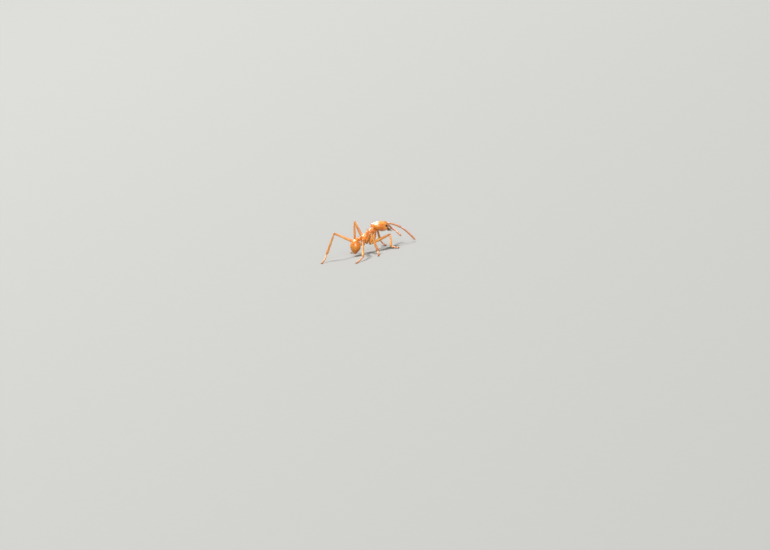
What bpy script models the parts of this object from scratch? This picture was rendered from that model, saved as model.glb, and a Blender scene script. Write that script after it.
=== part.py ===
"""Leafcutter ant worker, life size, standing still: one closed solid for each named part of the body.

Metres, +Z up, head towards +X, the six feet on z = 0. Lengths below are in millimetres and are turned into
metres as each mesh is made. Every limb is a tapered round tube that starts at a joint and runs to the next
one; the head, mesosoma, waist and gaster are lofted through rings. Neighbours are parted by a thin clearance:
the part nearer the middle of the body keeps its shape, and the next one is hollowed to fit round it.
"""
import bpy
import bmesh
import numpy as np

MM = 0.001
GAP = 0.04                # clearance between neighbouring parts; a leg is only half a millimetre thick
WELD = 0.0001 * MM        # vertices closer than this are one
DOME = np.radians(55)     # latitude of the ring that rounds off the end of a limb

# ---- trunk, in the plane y = 0 --------------------------------------------------------------------------
MESOSOMA_REAR = (1.65, 2.72)          # x, z of the rear end of the mesosoma's axis
MESOSOMA_PITCH = 24.0                 # degrees, nose up
MESOSOMA_LENGTH = 3.95
MESOSOMA_CUTS = (1.55, 2.62)          # places along the axis where propodeum, mesothorax and pronotum part
MESOSOMA_FORM = [                     # place along the axis, half width, half height, axis height
    (0.00, 0.34, 0.34, -0.06), (0.25, 0.50, 0.52, -0.04), (0.75, 0.60, 0.60, 0.02), (1.20, 0.58, 0.57, 0.00),
    (1.60, 0.54, 0.52, -0.05), (2.10, 0.66, 0.63, 0.01), (2.75, 0.80, 0.66, 0.02), (3.30, 0.70, 0.55, -0.06),
    (3.70, 0.42, 0.38, -0.16), (3.95, 0.30, 0.30, -0.20)]
SPINES = {               # place (along the axis, sideways, up), direction, length, thickness at the base
    "propodeum": ((0.50, 0.34, 0.40), (-0.80, 0.42, 0.62), 0.85, 0.30),
    "mesothorax": ((2.25, 0.40, 0.48), (0.15, 0.35, 0.95), 0.50, 0.30),
    "pronotum": ((3.10, 0.58, 0.20), (0.45, 0.85, 0.42), 0.60, 0.30)}

PETIOLE = ((1.80, 2.80), (1.10, 3.04))            # x, z of its two ends
POSTPETIOLE = ((1.16, 3.02), (0.56, 3.10))
GASTER = ((0.62, 3.10), (-0.38, 0.36))            # front end and tip
PETIOLE_FORM = [(0.0, 0.20, 0.20), (0.30, 0.24, 0.23), (0.65, 0.36, 0.34), (1.0, 0.24, 0.22)]
POSTPETIOLE_FORM = [(0.0, 0.24, 0.22), (0.40, 0.48, 0.38), (0.75, 0.46, 0.36), (1.0, 0.28, 0.26)]
GASTER_FORM = [                                   # share of the length, half width, half height
    (0.0, 0.26, 0.26), (0.06, 0.56, 0.52), (0.18, 0.86, 0.80), (0.34, 1.05, 1.00), (0.50, 1.10, 1.05),
    (0.66, 0.98, 0.93), (0.80, 0.72, 0.68), (0.92, 0.40, 0.37), (1.0, 0.16, 0.14)]
GASTER_CUTS = (0.56, 0.74, 0.88)                  # where the four rings of the gaster part

# ---- head, in its own axes: x forward, y left, z up -----------------------------------------------------
HEAD_CENTRE = (6.05, 0.0, 4.35)
HEAD_PITCH = -17.0
HEAD_ENDS = (-1.85, 1.70)              # rear and front end
HEAD_TOP = [(-1.9, -0.12), (-1.6, 0.24), (-1.3, 0.49), (-0.9, 0.76), (-0.4, 0.95), (0.3, 1.02), (0.9, 0.95),
            (1.3, 0.76), (1.54, 0.51), (1.68, 0.12)]
HEAD_BOTTOM = [(-1.9, -0.18), (-1.6, -0.36), (-1.2, -0.52), (-0.7, -0.72), (-0.2, -0.91), (0.4, -0.99),
               (0.9, -0.93), (1.3, -0.68), (1.54, -0.42), (1.68, 0.0)]
HEAD_SIDE = [(-1.9, 0.30), (-1.75, 0.88), (-1.45, 1.32), (-1.0, 1.64), (-0.45, 1.77), (0.2, 1.70),
             (0.75, 1.50), (1.2, 1.26), (1.5, 1.00), (1.68, 0.60)]
NOTCH_DEPTH, NOTCH_WIDTH = 0.78, 0.62             # the cleft between the two occipital lobes
FURROW_DEPTH, FURROW_WIDTH = 0.16, 0.30           # the groove that runs forward from it over the crown
FURROW_END = -1.75                                # where it fades out, short of the occiput's rear edge
EYE_PLACE, EYE_SIZE, EYE_TURN = (0.97, 1.32, 0.20), (0.27, 0.16, 0.22), -20
FRONTAL_LOBE_PLACE, FRONTAL_LOBE_SIZE = (1.20, 0.50, 0.75), (0.40, 0.24, 0.16)
OCCIPITAL_SPINE = ((-1.42, 1.04, 0.24), (-0.72, 0.42, 0.42), 0.34, 0.26)
MANDIBLE_BASE, MANDIBLE_TIP = (1.20, 1.12), (2.56, 0.10)      # outer corner and tip in plan
MANDIBLE_INNER = (1.76, 0.10)                     # where the toothed edge ends at the mouth
MANDIBLE_BULGE, MANDIBLE_TEETH, TOOTH_DEPTH = 0.34, 5, 0.10
MANDIBLE_THICK, MANDIBLE_HEIGHT, MANDIBLE_DROOP = 0.54, -0.30, 0.62

# ---- legs: hip on the trunk, lengths, and the way each segment points (yaw outwards from +X, pitch up) --
LEG_SIZES = {                         # hip (x, y, z); coxa, femur, tibia and tarsus length; coxa thickness
    "front": ((3.80, 0.58, 3.20), (1.85, 4.50, 3.10, 2.60), 0.80),
    "mid": ((2.78, 0.52, 2.78), (1.05, 4.80, 3.90, 3.00), 0.64),
    "hind": ((1.96, 0.48, 2.50), (1.05, 6.00, 4.25, 2.75), 0.66)}
LEG_POSE = {                          # coxa, femur and tibia yaw and pitch; tarsus yaw
    ("front", "left"): ((21, -77), (53, 41), (83, -85), -83),
    ("mid", "left"): ((130, -63), (105, 66), (171, -78), 115),
    ("hind", "left"): ((119, -61), (161, 37), (152, -56), 218),
    ("front", "right"): ((159, -61), (22, 12), (114, -37), 72),
    ("mid", "right"): ((156, -66), (87, 27), (91, -52), 107),
    ("hind", "right"): ((128, -52), (103, 17), (115, -36), 140)}
COXA_FORM = [(0.0, 1.0), (0.35, 0.98), (0.75, 0.74), (1.0, 0.62)]               # share of its thickness
FEMUR_FORM = [(0.0, 0.38), (0.05, 0.46), (0.09, 0.42), (0.16, 0.50), (0.35, 0.60), (0.62, 0.58), (0.86, 0.50),
              (1.0, 0.52)]                                                      # thickness
TIBIA_FORM = [(0.0, 0.36), (0.08, 0.46), (0.45, 0.50), (0.85, 0.52), (1.0, 0.50)]
TARSUS_JOINTS = (0.0, 0.46, 0.60, 0.72, 0.83, 1.0)       # the five tarsomeres, as shares of the length
TARSUS_THICK, TARSUS_WAIST = 0.48, 0.40
KNEE_STEP = 0.20                      # the tibia starts beside the tip of the femur, not on its axis
FOOT_HEIGHT = 0.14                    # height of the tarsus's axis at the toe; its underside is cut at z = 0
CLAW_LENGTH, CLAW_THICK, CLAW_SPREAD = 0.42, 0.22, 28

# ---- antennae: socket on the head, lengths, directions --------------------------------------------------
SOCKET = (1.27, 0.60, 0.60)           # in the head's axes
SCAPE_LENGTH, FUNICULUS_LENGTH, FUNICULUS_SEGMENTS = 3.0, 4.1, 10
SCAPE_FORM = [(0.0, 0.42), (0.10, 0.46), (0.5, 0.50), (0.9, 0.54), (1.0, 0.50)]
FUNICULUS_FORM = [(0.0, 0.44), (0.15, 0.48), (0.6, 0.52), (0.9, 0.52), (1.0, 0.40)]
FUNICULUS_WAIST = 0.92
ANTENNA_POSE = {                      # scape yaw and pitch, funiculus yaw and pitch
    "left": ((52, -34), (-83, -20)),
    "right": ((34, -26), (60, -43.5))}
SCAPE_ARCH, FUNICULUS_ARCH = 0.24, 0.28

COLOURS = {                           # base colour, roughness
    "amber": ((0.80, 0.28, 0.035, 1), 0.30), "honey": ((0.82, 0.38, 0.09, 1), 0.42),
    "rose": ((0.72, 0.30, 0.14, 1), 0.45), "mandible": ((0.16, 0.035, 0.012, 1), 0.25),
    "eye": ((0.008, 0.007, 0.007, 1), 0.15)}

SIDES = {"left": 1, "right": -1}


# ---- small geometry helpers -----------------------------------------------------------------------------
def unit(v):
    v = np.asarray(v, float)
    return v / np.linalg.norm(v)


def heading(yaw, pitch, side=1):
    """Unit direction from a yaw outwards from +X and a pitch up, in degrees."""
    yaw, pitch = np.radians(yaw), np.radians(pitch)
    return np.array([np.cos(pitch) * np.cos(yaw), side * np.cos(pitch) * np.sin(yaw), np.sin(pitch)])


def through(stations, places):
    """Smooth monotone curve through rows of (place, value, ...), read at the given places."""
    rows = np.asarray(stations, float)
    x, y = rows[:, 0], rows[:, 1:]
    step = np.diff(x)[:, None]
    rise = np.diff(y, axis=0) / step
    product, total = rise[1:] * rise[:-1], rise[1:] + rise[:-1]
    middle = np.where(product > 0, 2 * product / np.where(product > 0, total, 1), 0)
    slope = np.vstack([rise[:1], middle, rise[-1:]])
    t = np.clip(np.asarray(places, float), x[0], x[-1])
    k = np.clip(np.searchsorted(x, t, side="right") - 1, 0, len(x) - 2)
    u = ((t - x[k]) / step[k, 0])[:, None]
    return ((1 + 2 * u) * (1 - u) ** 2 * y[k] + u * (1 - u) ** 2 * step[k] * slope[k]
            + u ** 2 * (3 - 2 * u) * y[k + 1] + u ** 2 * (u - 1) * step[k] * slope[k + 1])


def circle(sides, power=2.0):
    """Points of a unit superellipse, as columns of (sideways, up)."""
    angle = np.linspace(0, 2 * np.pi, sides, endpoint=False)
    c, s = np.cos(angle), np.sin(angle)
    return np.column_stack([np.sign(c) * abs(c) ** (2 / power), np.sign(s) * abs(s) ** (2 / power)])


def tilted(points, pitch, origin):
    """Points in axes pitched about Y, moved to an origin, both in the ant's own axes."""
    a = np.radians(pitch)
    turn = np.array([[np.cos(a), 0, np.sin(a)], [0, 1, 0], [-np.sin(a), 0, np.cos(a)]])
    return np.asarray(points, float) @ turn + np.asarray(origin, float)


# ---- meshes and objects ---------------------------------------------------------------------------------
def material(name):
    colour, roughness = COLOURS[name]
    made = bpy.data.materials.get(name) or bpy.data.materials.new(name)
    made.use_nodes = True
    shader = made.node_tree.nodes["Principled BSDF"]
    shader.inputs["Base Color"].default_value = colour
    shader.inputs["Roughness"].default_value = roughness
    shader.inputs["Metallic"].default_value = 0.0
    return made


def solid(name, rings, place=(0, 0, 0), colour="amber"):
    """Object lofted through rings of points, closed by a point at each end, with its origin at place."""
    rings = np.asarray(rings, float)
    count, sides = rings.shape[:2]
    bm = bmesh.new()
    origin = np.asarray(place, float)
    verts = [[bm.verts.new((p - origin) * MM) for p in ring] for ring in rings]
    for a, b in zip(verts[:-1], verts[1:]):
        for i in range(sides):
            j = (i + 1) % sides
            bm.faces.new((a[i], a[j], b[j], b[i]))
    for row, ring in ((verts[0], rings[0]), (verts[-1], rings[-1])):
        pole = bm.verts.new((ring.mean(axis=0) - origin) * MM)
        for i in range(sides):
            bm.faces.new((row[i], row[(i + 1) % sides], pole))
    bmesh.ops.recalc_face_normals(bm, faces=bm.faces)
    mesh = bpy.data.meshes.new(name)
    bm.to_mesh(mesh)
    bm.free()
    mesh.materials.append(material(colour))
    piece = bpy.data.objects.new(name, mesh)
    bpy.context.scene.collection.objects.link(piece)
    piece.location = origin * MM
    return piece


def tube(name, path, radii, sides, place=None, colour="amber", domed=True):
    """Round tube along a path of points with a radius at each, with domed ends."""
    path, radii = np.asarray(path, float), np.asarray(radii, float)
    along = np.gradient(path, axis=0)
    along /= np.linalg.norm(along, axis=1)[:, None]
    if domed:
        for end, way in ((0, -1), (-1, 1)):
            tip, r, axis = path[end], radii[end], along[end]
            cap, size = tip + way * axis * r * np.sin(DOME), r * np.cos(DOME)
            if way < 0:
                path, radii, along = np.vstack([cap, path]), np.append(size, radii), np.vstack([axis, along])
            else:
                path, radii, along = np.vstack([path, cap]), np.append(radii, size), np.vstack([along, axis])
    wide = np.cross(along, (0.13, 0.21, 0.97))
    wide /= np.linalg.norm(wide, axis=1)[:, None]
    up = np.cross(wide, along)
    shape = circle(sides)
    radial = shape[None, :, :1] * wide[:, None] + shape[None, :, 1:] * up[:, None]
    rings = path[:, None] + radii[:, None, None] * radial
    return solid(name, rings, path[0] if place is None else place, colour)


def boolean(piece, other, operation):
    """Joins another object to a piece, or cuts it away, and leaves one welded mesh."""
    change = piece.modifiers.new(operation.lower(), "BOOLEAN")
    change.operation = operation
    change.solver = "EXACT"
    change.object = other
    made = bpy.data.meshes.new_from_object(piece.evaluated_get(bpy.context.evaluated_depsgraph_get()))
    piece.modifiers.remove(change)
    old, piece.data = piece.data, made
    bpy.data.meshes.remove(old)
    bm = bmesh.new()
    bm.from_mesh(made)
    bmesh.ops.remove_doubles(bm, verts=bm.verts, dist=WELD)
    bmesh.ops.dissolve_degenerate(bm, edges=bm.edges, dist=WELD)
    bmesh.ops.triangulate(bm, faces=bm.faces)
    bm.to_mesh(made)
    bm.free()


def swollen(piece, by=GAP):
    """Copy of a piece's mesh, pushed out along its normals, to cut a neighbour with."""
    cutter = piece.copy()
    cutter.data = piece.data.copy()
    bpy.context.scene.collection.objects.link(cutter)
    bm = bmesh.new()
    bm.from_mesh(cutter.data)
    bm.normal_update()
    for v in bm.verts:
        v.co += v.normal * by * MM
    bm.to_mesh(cutter.data)
    bm.free()
    return cutter


def discard(piece):
    mesh = piece.data
    bpy.data.objects.remove(piece)
    bpy.data.meshes.remove(mesh)


def fit_round(piece, *neighbours):
    """Hollows a piece so that it clears its neighbours by GAP."""
    for neighbour in neighbours:
        cutter = swollen(neighbour)
        boolean(piece, cutter, "DIFFERENCE")
        discard(cutter)


def add(piece, extra):
    boolean(piece, extra, "UNION")
    discard(extra)


def spike(start, direction, length, thick):
    """Pointed spine that starts a little way inside what it grows from."""
    t = np.array([-0.35, 0.0, 0.45, 0.85])
    path = np.asarray(start, float) + t[:, None] * unit(direction) * length
    return tube("spike", path, thick / 2 * np.array([1.1, 1.0, 0.55, 0.16]), 5, domed=False)


def ellipsoid(place, size, turn, sides=10, rows=6):
    """Ellipsoid in the head's axes, turned about its own Z."""
    v = np.linspace(0, np.pi, rows + 2)[1:-1]
    shape = circle(sides)
    x = -np.cos(v)[:, None] * np.ones(sides) * size[0]
    y = np.sin(v)[:, None] * shape[:, 0] * size[1]
    z = np.sin(v)[:, None] * shape[:, 1] * size[2]
    c, s = np.cos(np.radians(turn)), np.sin(np.radians(turn))
    rings = np.stack([place[0] + c * x - s * y, place[1] + s * x + c * y, place[2] + z], axis=-1)
    return tilted(rings, HEAD_PITCH, HEAD_CENTRE)


# ---- trunk ----------------------------------------------------------------------------------------------
def mesosoma_rings(start, stop, count, sides=18):
    s = np.linspace(start, stop, count)
    half_wide, half_high, lift = through(MESOSOMA_FORM, s).T
    shape = circle(sides, 2.2)
    rings = np.stack([np.repeat(s[:, None], sides, axis=1), half_wide[:, None] * shape[:, 0],
                      lift[:, None] + half_high[:, None] * shape[:, 1]], axis=-1)
    return tilted(rings, MESOSOMA_PITCH, (MESOSOMA_REAR[0], 0, MESOSOMA_REAR[1]))


def mesosoma():
    """Propodeum, mesothorax and pronotum, each with its pair of spines."""
    ends = (0.0,) + MESOSOMA_CUTS + (MESOSOMA_LENGTH,)
    origin = (MESOSOMA_REAR[0], 0, MESOSOMA_REAR[1])
    for name, start, stop in zip(("propodeum", "mesothorax", "pronotum"), ends[:-1], ends[1:]):
        start += GAP / 2 if start > 0 else 0
        stop -= GAP / 2 if stop < MESOSOMA_LENGTH else 0
        plate = solid(name, mesosoma_rings(start, stop, 6), colour="amber")
        place, direction, length, thick = SPINES[name]
        for side in SIDES.values():
            mirror = np.array([1, side, 1])
            root = tilted(mirror * place, MESOSOMA_PITCH, origin)
            way = tilted(mirror * direction, MESOSOMA_PITCH, (0, 0, 0))
            add(plate, spike(root, way, length, thick))


def trunk_loft(name, ends, form, start, stop, count, sides, colour="amber"):
    """Part of the waist or gaster: ellipses along the line between two points of the middle plane."""
    a, b = (np.array([x, 0.0, z]) for x, z in ends)
    t = np.linspace(start, stop, count)
    half_wide, half_high = through(form, t).T
    along = unit(b - a)
    wide, up = np.array([0.0, 1.0, 0.0]), np.cross(along, (0.0, 1.0, 0.0))
    shape = circle(sides)
    centre = a + t[:, None] * (b - a)
    rings = (centre[:, None] + half_wide[:, None, None] * shape[None, :, :1] * wide
             + half_high[:, None, None] * shape[None, :, 1:] * up)
    return solid(name, rings, a, colour)


def waist_and_gaster(propodeum):
    petiole = trunk_loft("petiole", PETIOLE, PETIOLE_FORM, 0, 1, 7, 12)
    whole_petiole = swollen(petiole, 0)
    fit_round(petiole, propodeum)
    postpetiole = trunk_loft("postpetiole", POSTPETIOLE, POSTPETIOLE_FORM, 0, 1, 7, 12)
    whole_postpetiole = swollen(postpetiole, 0)
    fit_round(postpetiole, whole_petiole)
    length = np.hypot(*(np.subtract(*GASTER)))
    ends = (0.0,) + GASTER_CUTS + (1.0,)
    counts = (8, 4, 4, 4)
    for number, (start, stop, count) in enumerate(zip(ends[:-1], ends[1:], counts), 1):
        start += GAP / 2 / length if start > 0 else 0
        stop -= GAP / 2 / length if stop < 1 else 0
        ring = trunk_loft(f"gaster_{number}", GASTER, GASTER_FORM, start, stop, count, 18)
        if number == 1:
            fit_round(ring, whole_postpetiole)
    discard(whole_petiole)
    discard(whole_postpetiole)


# ---- head -----------------------------------------------------------------------------------------------
def head_rings(rows=15, sides=20):
    """Rings from the occiput forward: a top, a bottom and a side outline, cleft and furrowed behind."""
    rear_end, front_end = HEAD_ENDS
    x = (rear_end + front_end) / 2 - (front_end - rear_end) / 2 * np.cos(np.linspace(0.16, np.pi - 0.16, rows))
    top, bottom, side = (through(line, x)[:, 0] for line in (HEAD_TOP, HEAD_BOTTOM, HEAD_SIDE))
    shape = circle(sides, 2.25)
    y = side[:, None] * shape[:, 0]
    z = ((top + bottom) / 2)[:, None] + ((top - bottom) / 2)[:, None] * shape[:, 1]
    rear = np.clip((0.3 - x) / 1.9, 0, 1)[:, None]
    rear = rear * rear * (3 - 2 * rear)
    across = x[:, None] + NOTCH_DEPTH * np.exp(-(y / NOTCH_WIDTH) ** 2) * rear
    inward = np.sign(shape[:, 1]) * (abs(shape[:, 1]) > 0.2)
    open_end = np.clip((x - FURROW_END) / 0.5, 0, 1)[:, None]
    z -= inward * FURROW_DEPTH * open_end * np.exp(-(y / FURROW_WIDTH) ** 2) * rear
    return tilted(np.stack([across, y, z], axis=-1), HEAD_PITCH, HEAD_CENTRE)


def mandible_rings(side):
    """Toothed triangular blade: its outline in plan, stacked from the underside to the top."""
    base, tip, inner = (np.array(p) for p in (MANDIBLE_BASE, MANDIBLE_TIP, MANDIBLE_INNER))
    chord = tip - base
    outward = unit((-chord[1], chord[0]))
    t = np.linspace(0, 1, 9)
    outer = base + t[:, None] * chord + MANDIBLE_BULGE * np.sin(np.pi * t ** 0.85)[:, None] * outward
    edge = np.linspace(0, 1, 2 * MANDIBLE_TEETH + 1)[1:]
    bite = TOOTH_DEPTH * (np.arange(1, len(edge) + 1) % 2)
    toothed = tip + edge[:, None] * (inner - tip) + bite[:, None] * np.array([0.0, 1.0])
    mouth = base + (inner - base) * np.array([[0.62], [0.30]])
    plan = np.vstack([outer, toothed, mouth])
    middle = plan.mean(axis=0)
    rings = []
    for share, inset in ((-0.5, 0.74), (-0.28, 1.0), (0.28, 1.0), (0.5, 0.74)):
        p = middle + (plan - middle) * inset
        reach = np.clip((p[:, 0] - base[0]) / (tip[0] - base[0]), 0, 1)
        z = MANDIBLE_HEIGHT - MANDIBLE_DROOP * reach ** 1.4 + share * MANDIBLE_THICK * (1 - 0.45 * reach)
        rings.append(np.column_stack([p[:, 0], side * p[:, 1], z]))
    return tilted(rings, HEAD_PITCH, HEAD_CENTRE)


def head(trunk):
    """Skull with frontal lobes and occipital spines, eyes and mandibles; returns the skull's uncut forms."""
    skull = solid("head", head_rings(), HEAD_CENTRE)
    whole = [swollen(skull, 0)]
    fit_round(skull, trunk)
    for name, side in SIDES.items():
        mirror = np.array([1, side, 1])
        lobe = solid("lobe", ellipsoid(mirror * FRONTAL_LOBE_PLACE, FRONTAL_LOBE_SIZE, side * 24, 8, 5))
        whole.append(swollen(lobe, 0))
        add(skull, lobe)
        place, direction, length, thick = OCCIPITAL_SPINE
        add(skull, spike(tilted(mirror * place, HEAD_PITCH, HEAD_CENTRE),
                         tilted(mirror * direction, HEAD_PITCH, (0, 0, 0)), length, thick))
        eye = solid(f"eye_{name}", ellipsoid(mirror * EYE_PLACE, EYE_SIZE, side * EYE_TURN), colour="eye")
        fit_round(skull, eye)
        mandible = solid(f"mandible_{name}", mandible_rings(side), colour="mandible")
        fit_round(mandible, whole[0])
    return whole


def antenna(name, skull_forms):
    """Scape and many-jointed funiculus, bent at the elbow between them."""
    side = SIDES[name]
    scape_way, funiculus_way = (heading(*way, side) for way in ANTENNA_POSE[name])
    start = tilted((SOCKET[0], side * SOCKET[1], SOCKET[2]), HEAD_PITCH, HEAD_CENTRE)
    t = np.linspace(0, 1, 9)
    arch = np.array([0, 0, 1.0])
    path = start + t[:, None] * scape_way * SCAPE_LENGTH + (4 * t * (1 - t) * SCAPE_ARCH)[:, None] * arch
    scape = tube(f"scape_{name}", path, through(SCAPE_FORM, t)[:, 0] / 2, 8, colour="rose")
    whole_scape = swollen(scape, 0)
    fit_round(scape, *skull_forms)
    elbow = path[-1] + 0.12 * unit(funiculus_way)
    t = np.linspace(0, 1, 2 * FUNICULUS_SEGMENTS + 1)
    rise = (4 * t * (1 - t) * FUNICULUS_ARCH)[:, None] * arch
    path = elbow + t[:, None] * funiculus_way * FUNICULUS_LENGTH + rise
    thick = through(FUNICULUS_FORM, t)[:, 0] * np.where(np.arange(len(t)) % 2 == 0, FUNICULUS_WAIST, 1.0)
    funiculus = tube(f"funiculus_{name}", path, thick / 2, 6, colour="rose")
    fit_round(funiculus, whole_scape)
    discard(whole_scape)


# ---- legs -----------------------------------------------------------------------------------------------
def straight(start, way, length, form, count, name, sides, colour="honey"):
    t = np.linspace(0, 1, count)
    path = start + t[:, None] * way * length
    return tube(name, path, through(form, t)[:, 0] / 2, sides, colour=colour)


def tarsus(name, ankle, yaw, length, side):
    """Five tarsomeres that come down to the floor and level out, with two claws, cut flat at z = 0."""
    drop = ankle[2] - FOOT_HEIGHT
    level = heading(yaw, 0, side)
    toe = ankle + level * np.sqrt(length ** 2 - drop ** 2)
    toe[2] = FOOT_HEIGHT
    knuckle = ankle + (toe - ankle) * 0.62
    knuckle[2] = ankle[2] - drop * 0.94
    t = np.sort(np.concatenate([TARSUS_JOINTS, (0.22, 0.53, 0.66, 0.775, 0.92)]))[:, None]
    path = (1 - t) ** 2 * ankle + 2 * t * (1 - t) * knuckle + t ** 2 * toe
    thick = np.where(np.isin(t[:, 0], TARSUS_JOINTS), TARSUS_WAIST, TARSUS_THICK)
    foot = tube(name, path, thick / 2, 6, colour="honey")
    for turn in (-CLAW_SPREAD, CLAW_SPREAD):
        way = heading(yaw + turn, -8, side)
        add(foot, spike(toe + 0.10 * level, way, CLAW_LENGTH, CLAW_THICK))
    cut_at_floor(foot)
    return foot


def cut_at_floor(piece):
    """Trims what reaches below z = 0 and closes the cut with a flat."""
    bm = bmesh.new()
    bm.from_mesh(piece.data)
    low = -piece.location[2]
    everything = bm.verts[:] + bm.edges[:] + bm.faces[:]
    bmesh.ops.bisect_plane(bm, geom=everything, dist=WELD, plane_co=(0, 0, low), plane_no=(0, 0, -1),
                           clear_outer=True)
    bmesh.ops.holes_fill(bm, edges=[e for e in bm.edges if e.is_boundary])
    bmesh.ops.recalc_face_normals(bm, faces=bm.faces)
    bmesh.ops.triangulate(bm, faces=bm.faces)
    bm.to_mesh(piece.data)
    bm.free()


def leg(pair, name, trunk):
    side = SIDES[name]
    hip, (coxa_length, femur_length, tibia_length, tarsus_length), thick = LEG_SIZES[pair]
    coxa_way, femur_way, tibia_way = (heading(*way, side) for way in LEG_POSE[pair, name][:3])
    hip = np.array([hip[0], side * hip[1], hip[2]])
    ending = f"{pair}_{name}"
    coxa_form = [(place, share * thick) for place, share in COXA_FORM]
    coxa = straight(hip, coxa_way, coxa_length, coxa_form, 5, f"coxa_{ending}", 8, "amber")
    femur_start = hip + coxa_way * coxa_length
    femur = straight(femur_start, femur_way, femur_length, FEMUR_FORM, 9, f"femur_{ending}", 8)
    knee = femur_start + femur_way * femur_length
    aside = unit(tibia_way - femur_way * (tibia_way @ femur_way))
    tibia_start = knee + KNEE_STEP * aside
    tibia = straight(tibia_start, tibia_way, tibia_length, TIBIA_FORM, 7, f"tibia_{ending}", 8)
    ankle = tibia_start + tibia_way * tibia_length
    foot = tarsus(f"tarsus_{ending}", ankle, LEG_POSE[pair, name][3], tarsus_length, side)
    for piece, neighbour in ((foot, tibia), (tibia, femur), (femur, coxa), (coxa, trunk)):
        fit_round(piece, neighbour)


# ---- the whole ant --------------------------------------------------------------------------------------
def stand_on_origin():
    """Parents every part to an empty that puts the middle of the ant's box, at the feet, on the origin."""
    bpy.context.view_layer.update()
    parts = [o for o in bpy.context.scene.objects if o.type == "MESH"]
    points = np.array([o.matrix_world @ v.co for o in parts for v in o.data.vertices])
    low, high = points.min(axis=0), points.max(axis=0)
    ant = bpy.data.objects.new("ant", None)
    bpy.context.scene.collection.objects.link(ant)
    for part in parts:
        part.parent = ant
    ant.location = (-(low[0] + high[0]) / 2, -(low[1] + high[1]) / 2, 0)


def finish():
    for part in bpy.context.scene.objects:
        if part.type == "MESH":
            part.data.shade_smooth()
            part.data.set_sharp_from_angle(angle=np.radians(40))


def build():
    for old in list(bpy.data.objects):
        bpy.data.objects.remove(old)
    mesosoma()
    trunk = solid("trunk", mesosoma_rings(0, MESOSOMA_LENGTH, 16))
    waist_and_gaster(trunk)
    skull_forms = head(trunk)
    for name in SIDES:
        antenna(name, skull_forms)
    for pair, name in LEG_POSE:
        leg(pair, name, trunk)
    for form in [trunk] + skull_forms:
        discard(form)
    finish()
    stand_on_origin()


build()
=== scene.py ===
import bpy
import numpy as np
from mathutils import Matrix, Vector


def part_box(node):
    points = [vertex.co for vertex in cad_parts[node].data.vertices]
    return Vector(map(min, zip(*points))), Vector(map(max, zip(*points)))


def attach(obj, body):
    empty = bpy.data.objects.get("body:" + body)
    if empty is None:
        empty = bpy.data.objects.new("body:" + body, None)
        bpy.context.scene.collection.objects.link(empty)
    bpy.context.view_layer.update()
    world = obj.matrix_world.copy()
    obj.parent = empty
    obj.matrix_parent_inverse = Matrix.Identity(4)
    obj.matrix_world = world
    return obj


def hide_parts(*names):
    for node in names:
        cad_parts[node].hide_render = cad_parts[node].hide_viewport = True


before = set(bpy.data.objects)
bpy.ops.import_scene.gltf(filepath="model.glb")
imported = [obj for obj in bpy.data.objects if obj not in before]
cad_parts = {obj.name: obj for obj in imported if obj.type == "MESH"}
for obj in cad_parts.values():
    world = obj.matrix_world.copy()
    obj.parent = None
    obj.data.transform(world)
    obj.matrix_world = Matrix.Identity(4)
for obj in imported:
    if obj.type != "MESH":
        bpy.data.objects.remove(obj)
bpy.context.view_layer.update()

mm = 0.001
bothSides = {"left": 1, "right": -1}
capAngles = np.radians((30, 58, 80))  # rings that round off each end of a limb


# unit vectors along the last axis
def unit(v):
    v = np.asarray(v, float)
    return v / np.linalg.norm(v, axis=-1, keepdims=True)


# direction with a yaw outwards from +X and a pitch up, in degrees
def heading(yaw, pitch, side=1):
    yaw, pitch = np.radians(yaw), np.radians(pitch)
    return np.array([np.cos(pitch) * np.cos(yaw), side * np.cos(pitch) * np.sin(yaw), np.sin(pitch)])


# smooth curve through rows of (place, value, ...): a cubic between neighbours, whose slope at each row is the
# harmonic mean of the rises on its two sides, or zero where they change sign
def through(stations, places):
    rows = np.asarray(stations, float)
    x, y = rows[:, 0], rows[:, 1:]
    step = np.diff(x)[:, None]
    rise = np.diff(y, axis=0) / step
    product, total = rise[1:] * rise[:-1], rise[1:] + rise[:-1]
    middle = np.where(product > 0, 2 * product / np.where(product > 0, total, 1), 0)
    slope = np.vstack([rise[:1], middle, rise[-1:]])
    t = np.clip(np.asarray(places, float), x[0], x[-1])
    k = np.clip(np.searchsorted(x, t, side="right") - 1, 0, len(x) - 2)
    u = ((t - x[k]) / step[k, 0])[:, None]
    return ((1 + 2 * u) * (1 - u) ** 2 * y[k] + u * (1 - u) ** 2 * step[k] * slope[k]
            + u ** 2 * (3 - 2 * u) * y[k + 1] + u ** 2 * (u - 1) * step[k] * slope[k + 1])


# points of a unit superellipse: cosine and sine raised to 2 / power, keeping their signs
def roundSection(count, power=2.0):
    a = np.linspace(0, 2 * np.pi, count, endpoint=False)
    c, s = np.cos(a), np.sin(a)
    return np.sign(c) * abs(c) ** (2 / power), np.sign(s) * abs(s) ** (2 / power)


# climb of each point of such a section round its flank, in degrees: -90 below, 0 at the side, 90 on top
def climbOf(count, power=2.0):
    c, s = roundSection(count, power)
    return np.degrees(np.arctan2(s, abs(c)))


# points in axes pitched about Y, moved to an origin
def tilted(points, pitch, origin=(0, 0, 0)):
    a = np.radians(pitch)
    turn = np.array([[np.cos(a), 0, np.sin(a)], [0, 1, 0], [-np.sin(a), 0, np.cos(a)]])
    return np.asarray(points, float) @ turn + np.asarray(origin, float)


# place or way of the left side, mirrored for the right one
def onSide(vector, side):
    return np.array(vector) * (1, side, 1)


# bell of height 1 round a place, with a size along each axis
def bell(points, place, size):
    return np.exp(-(((points - np.asarray(place)) / np.asarray(size)) ** 2).sum(axis=-1))


# ridge of height 1 where the distance is 0: exp(-(distance / width) ^ 2)
def ridge(distance, width):
    return np.exp(-(distance / width) ** 2)


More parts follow.
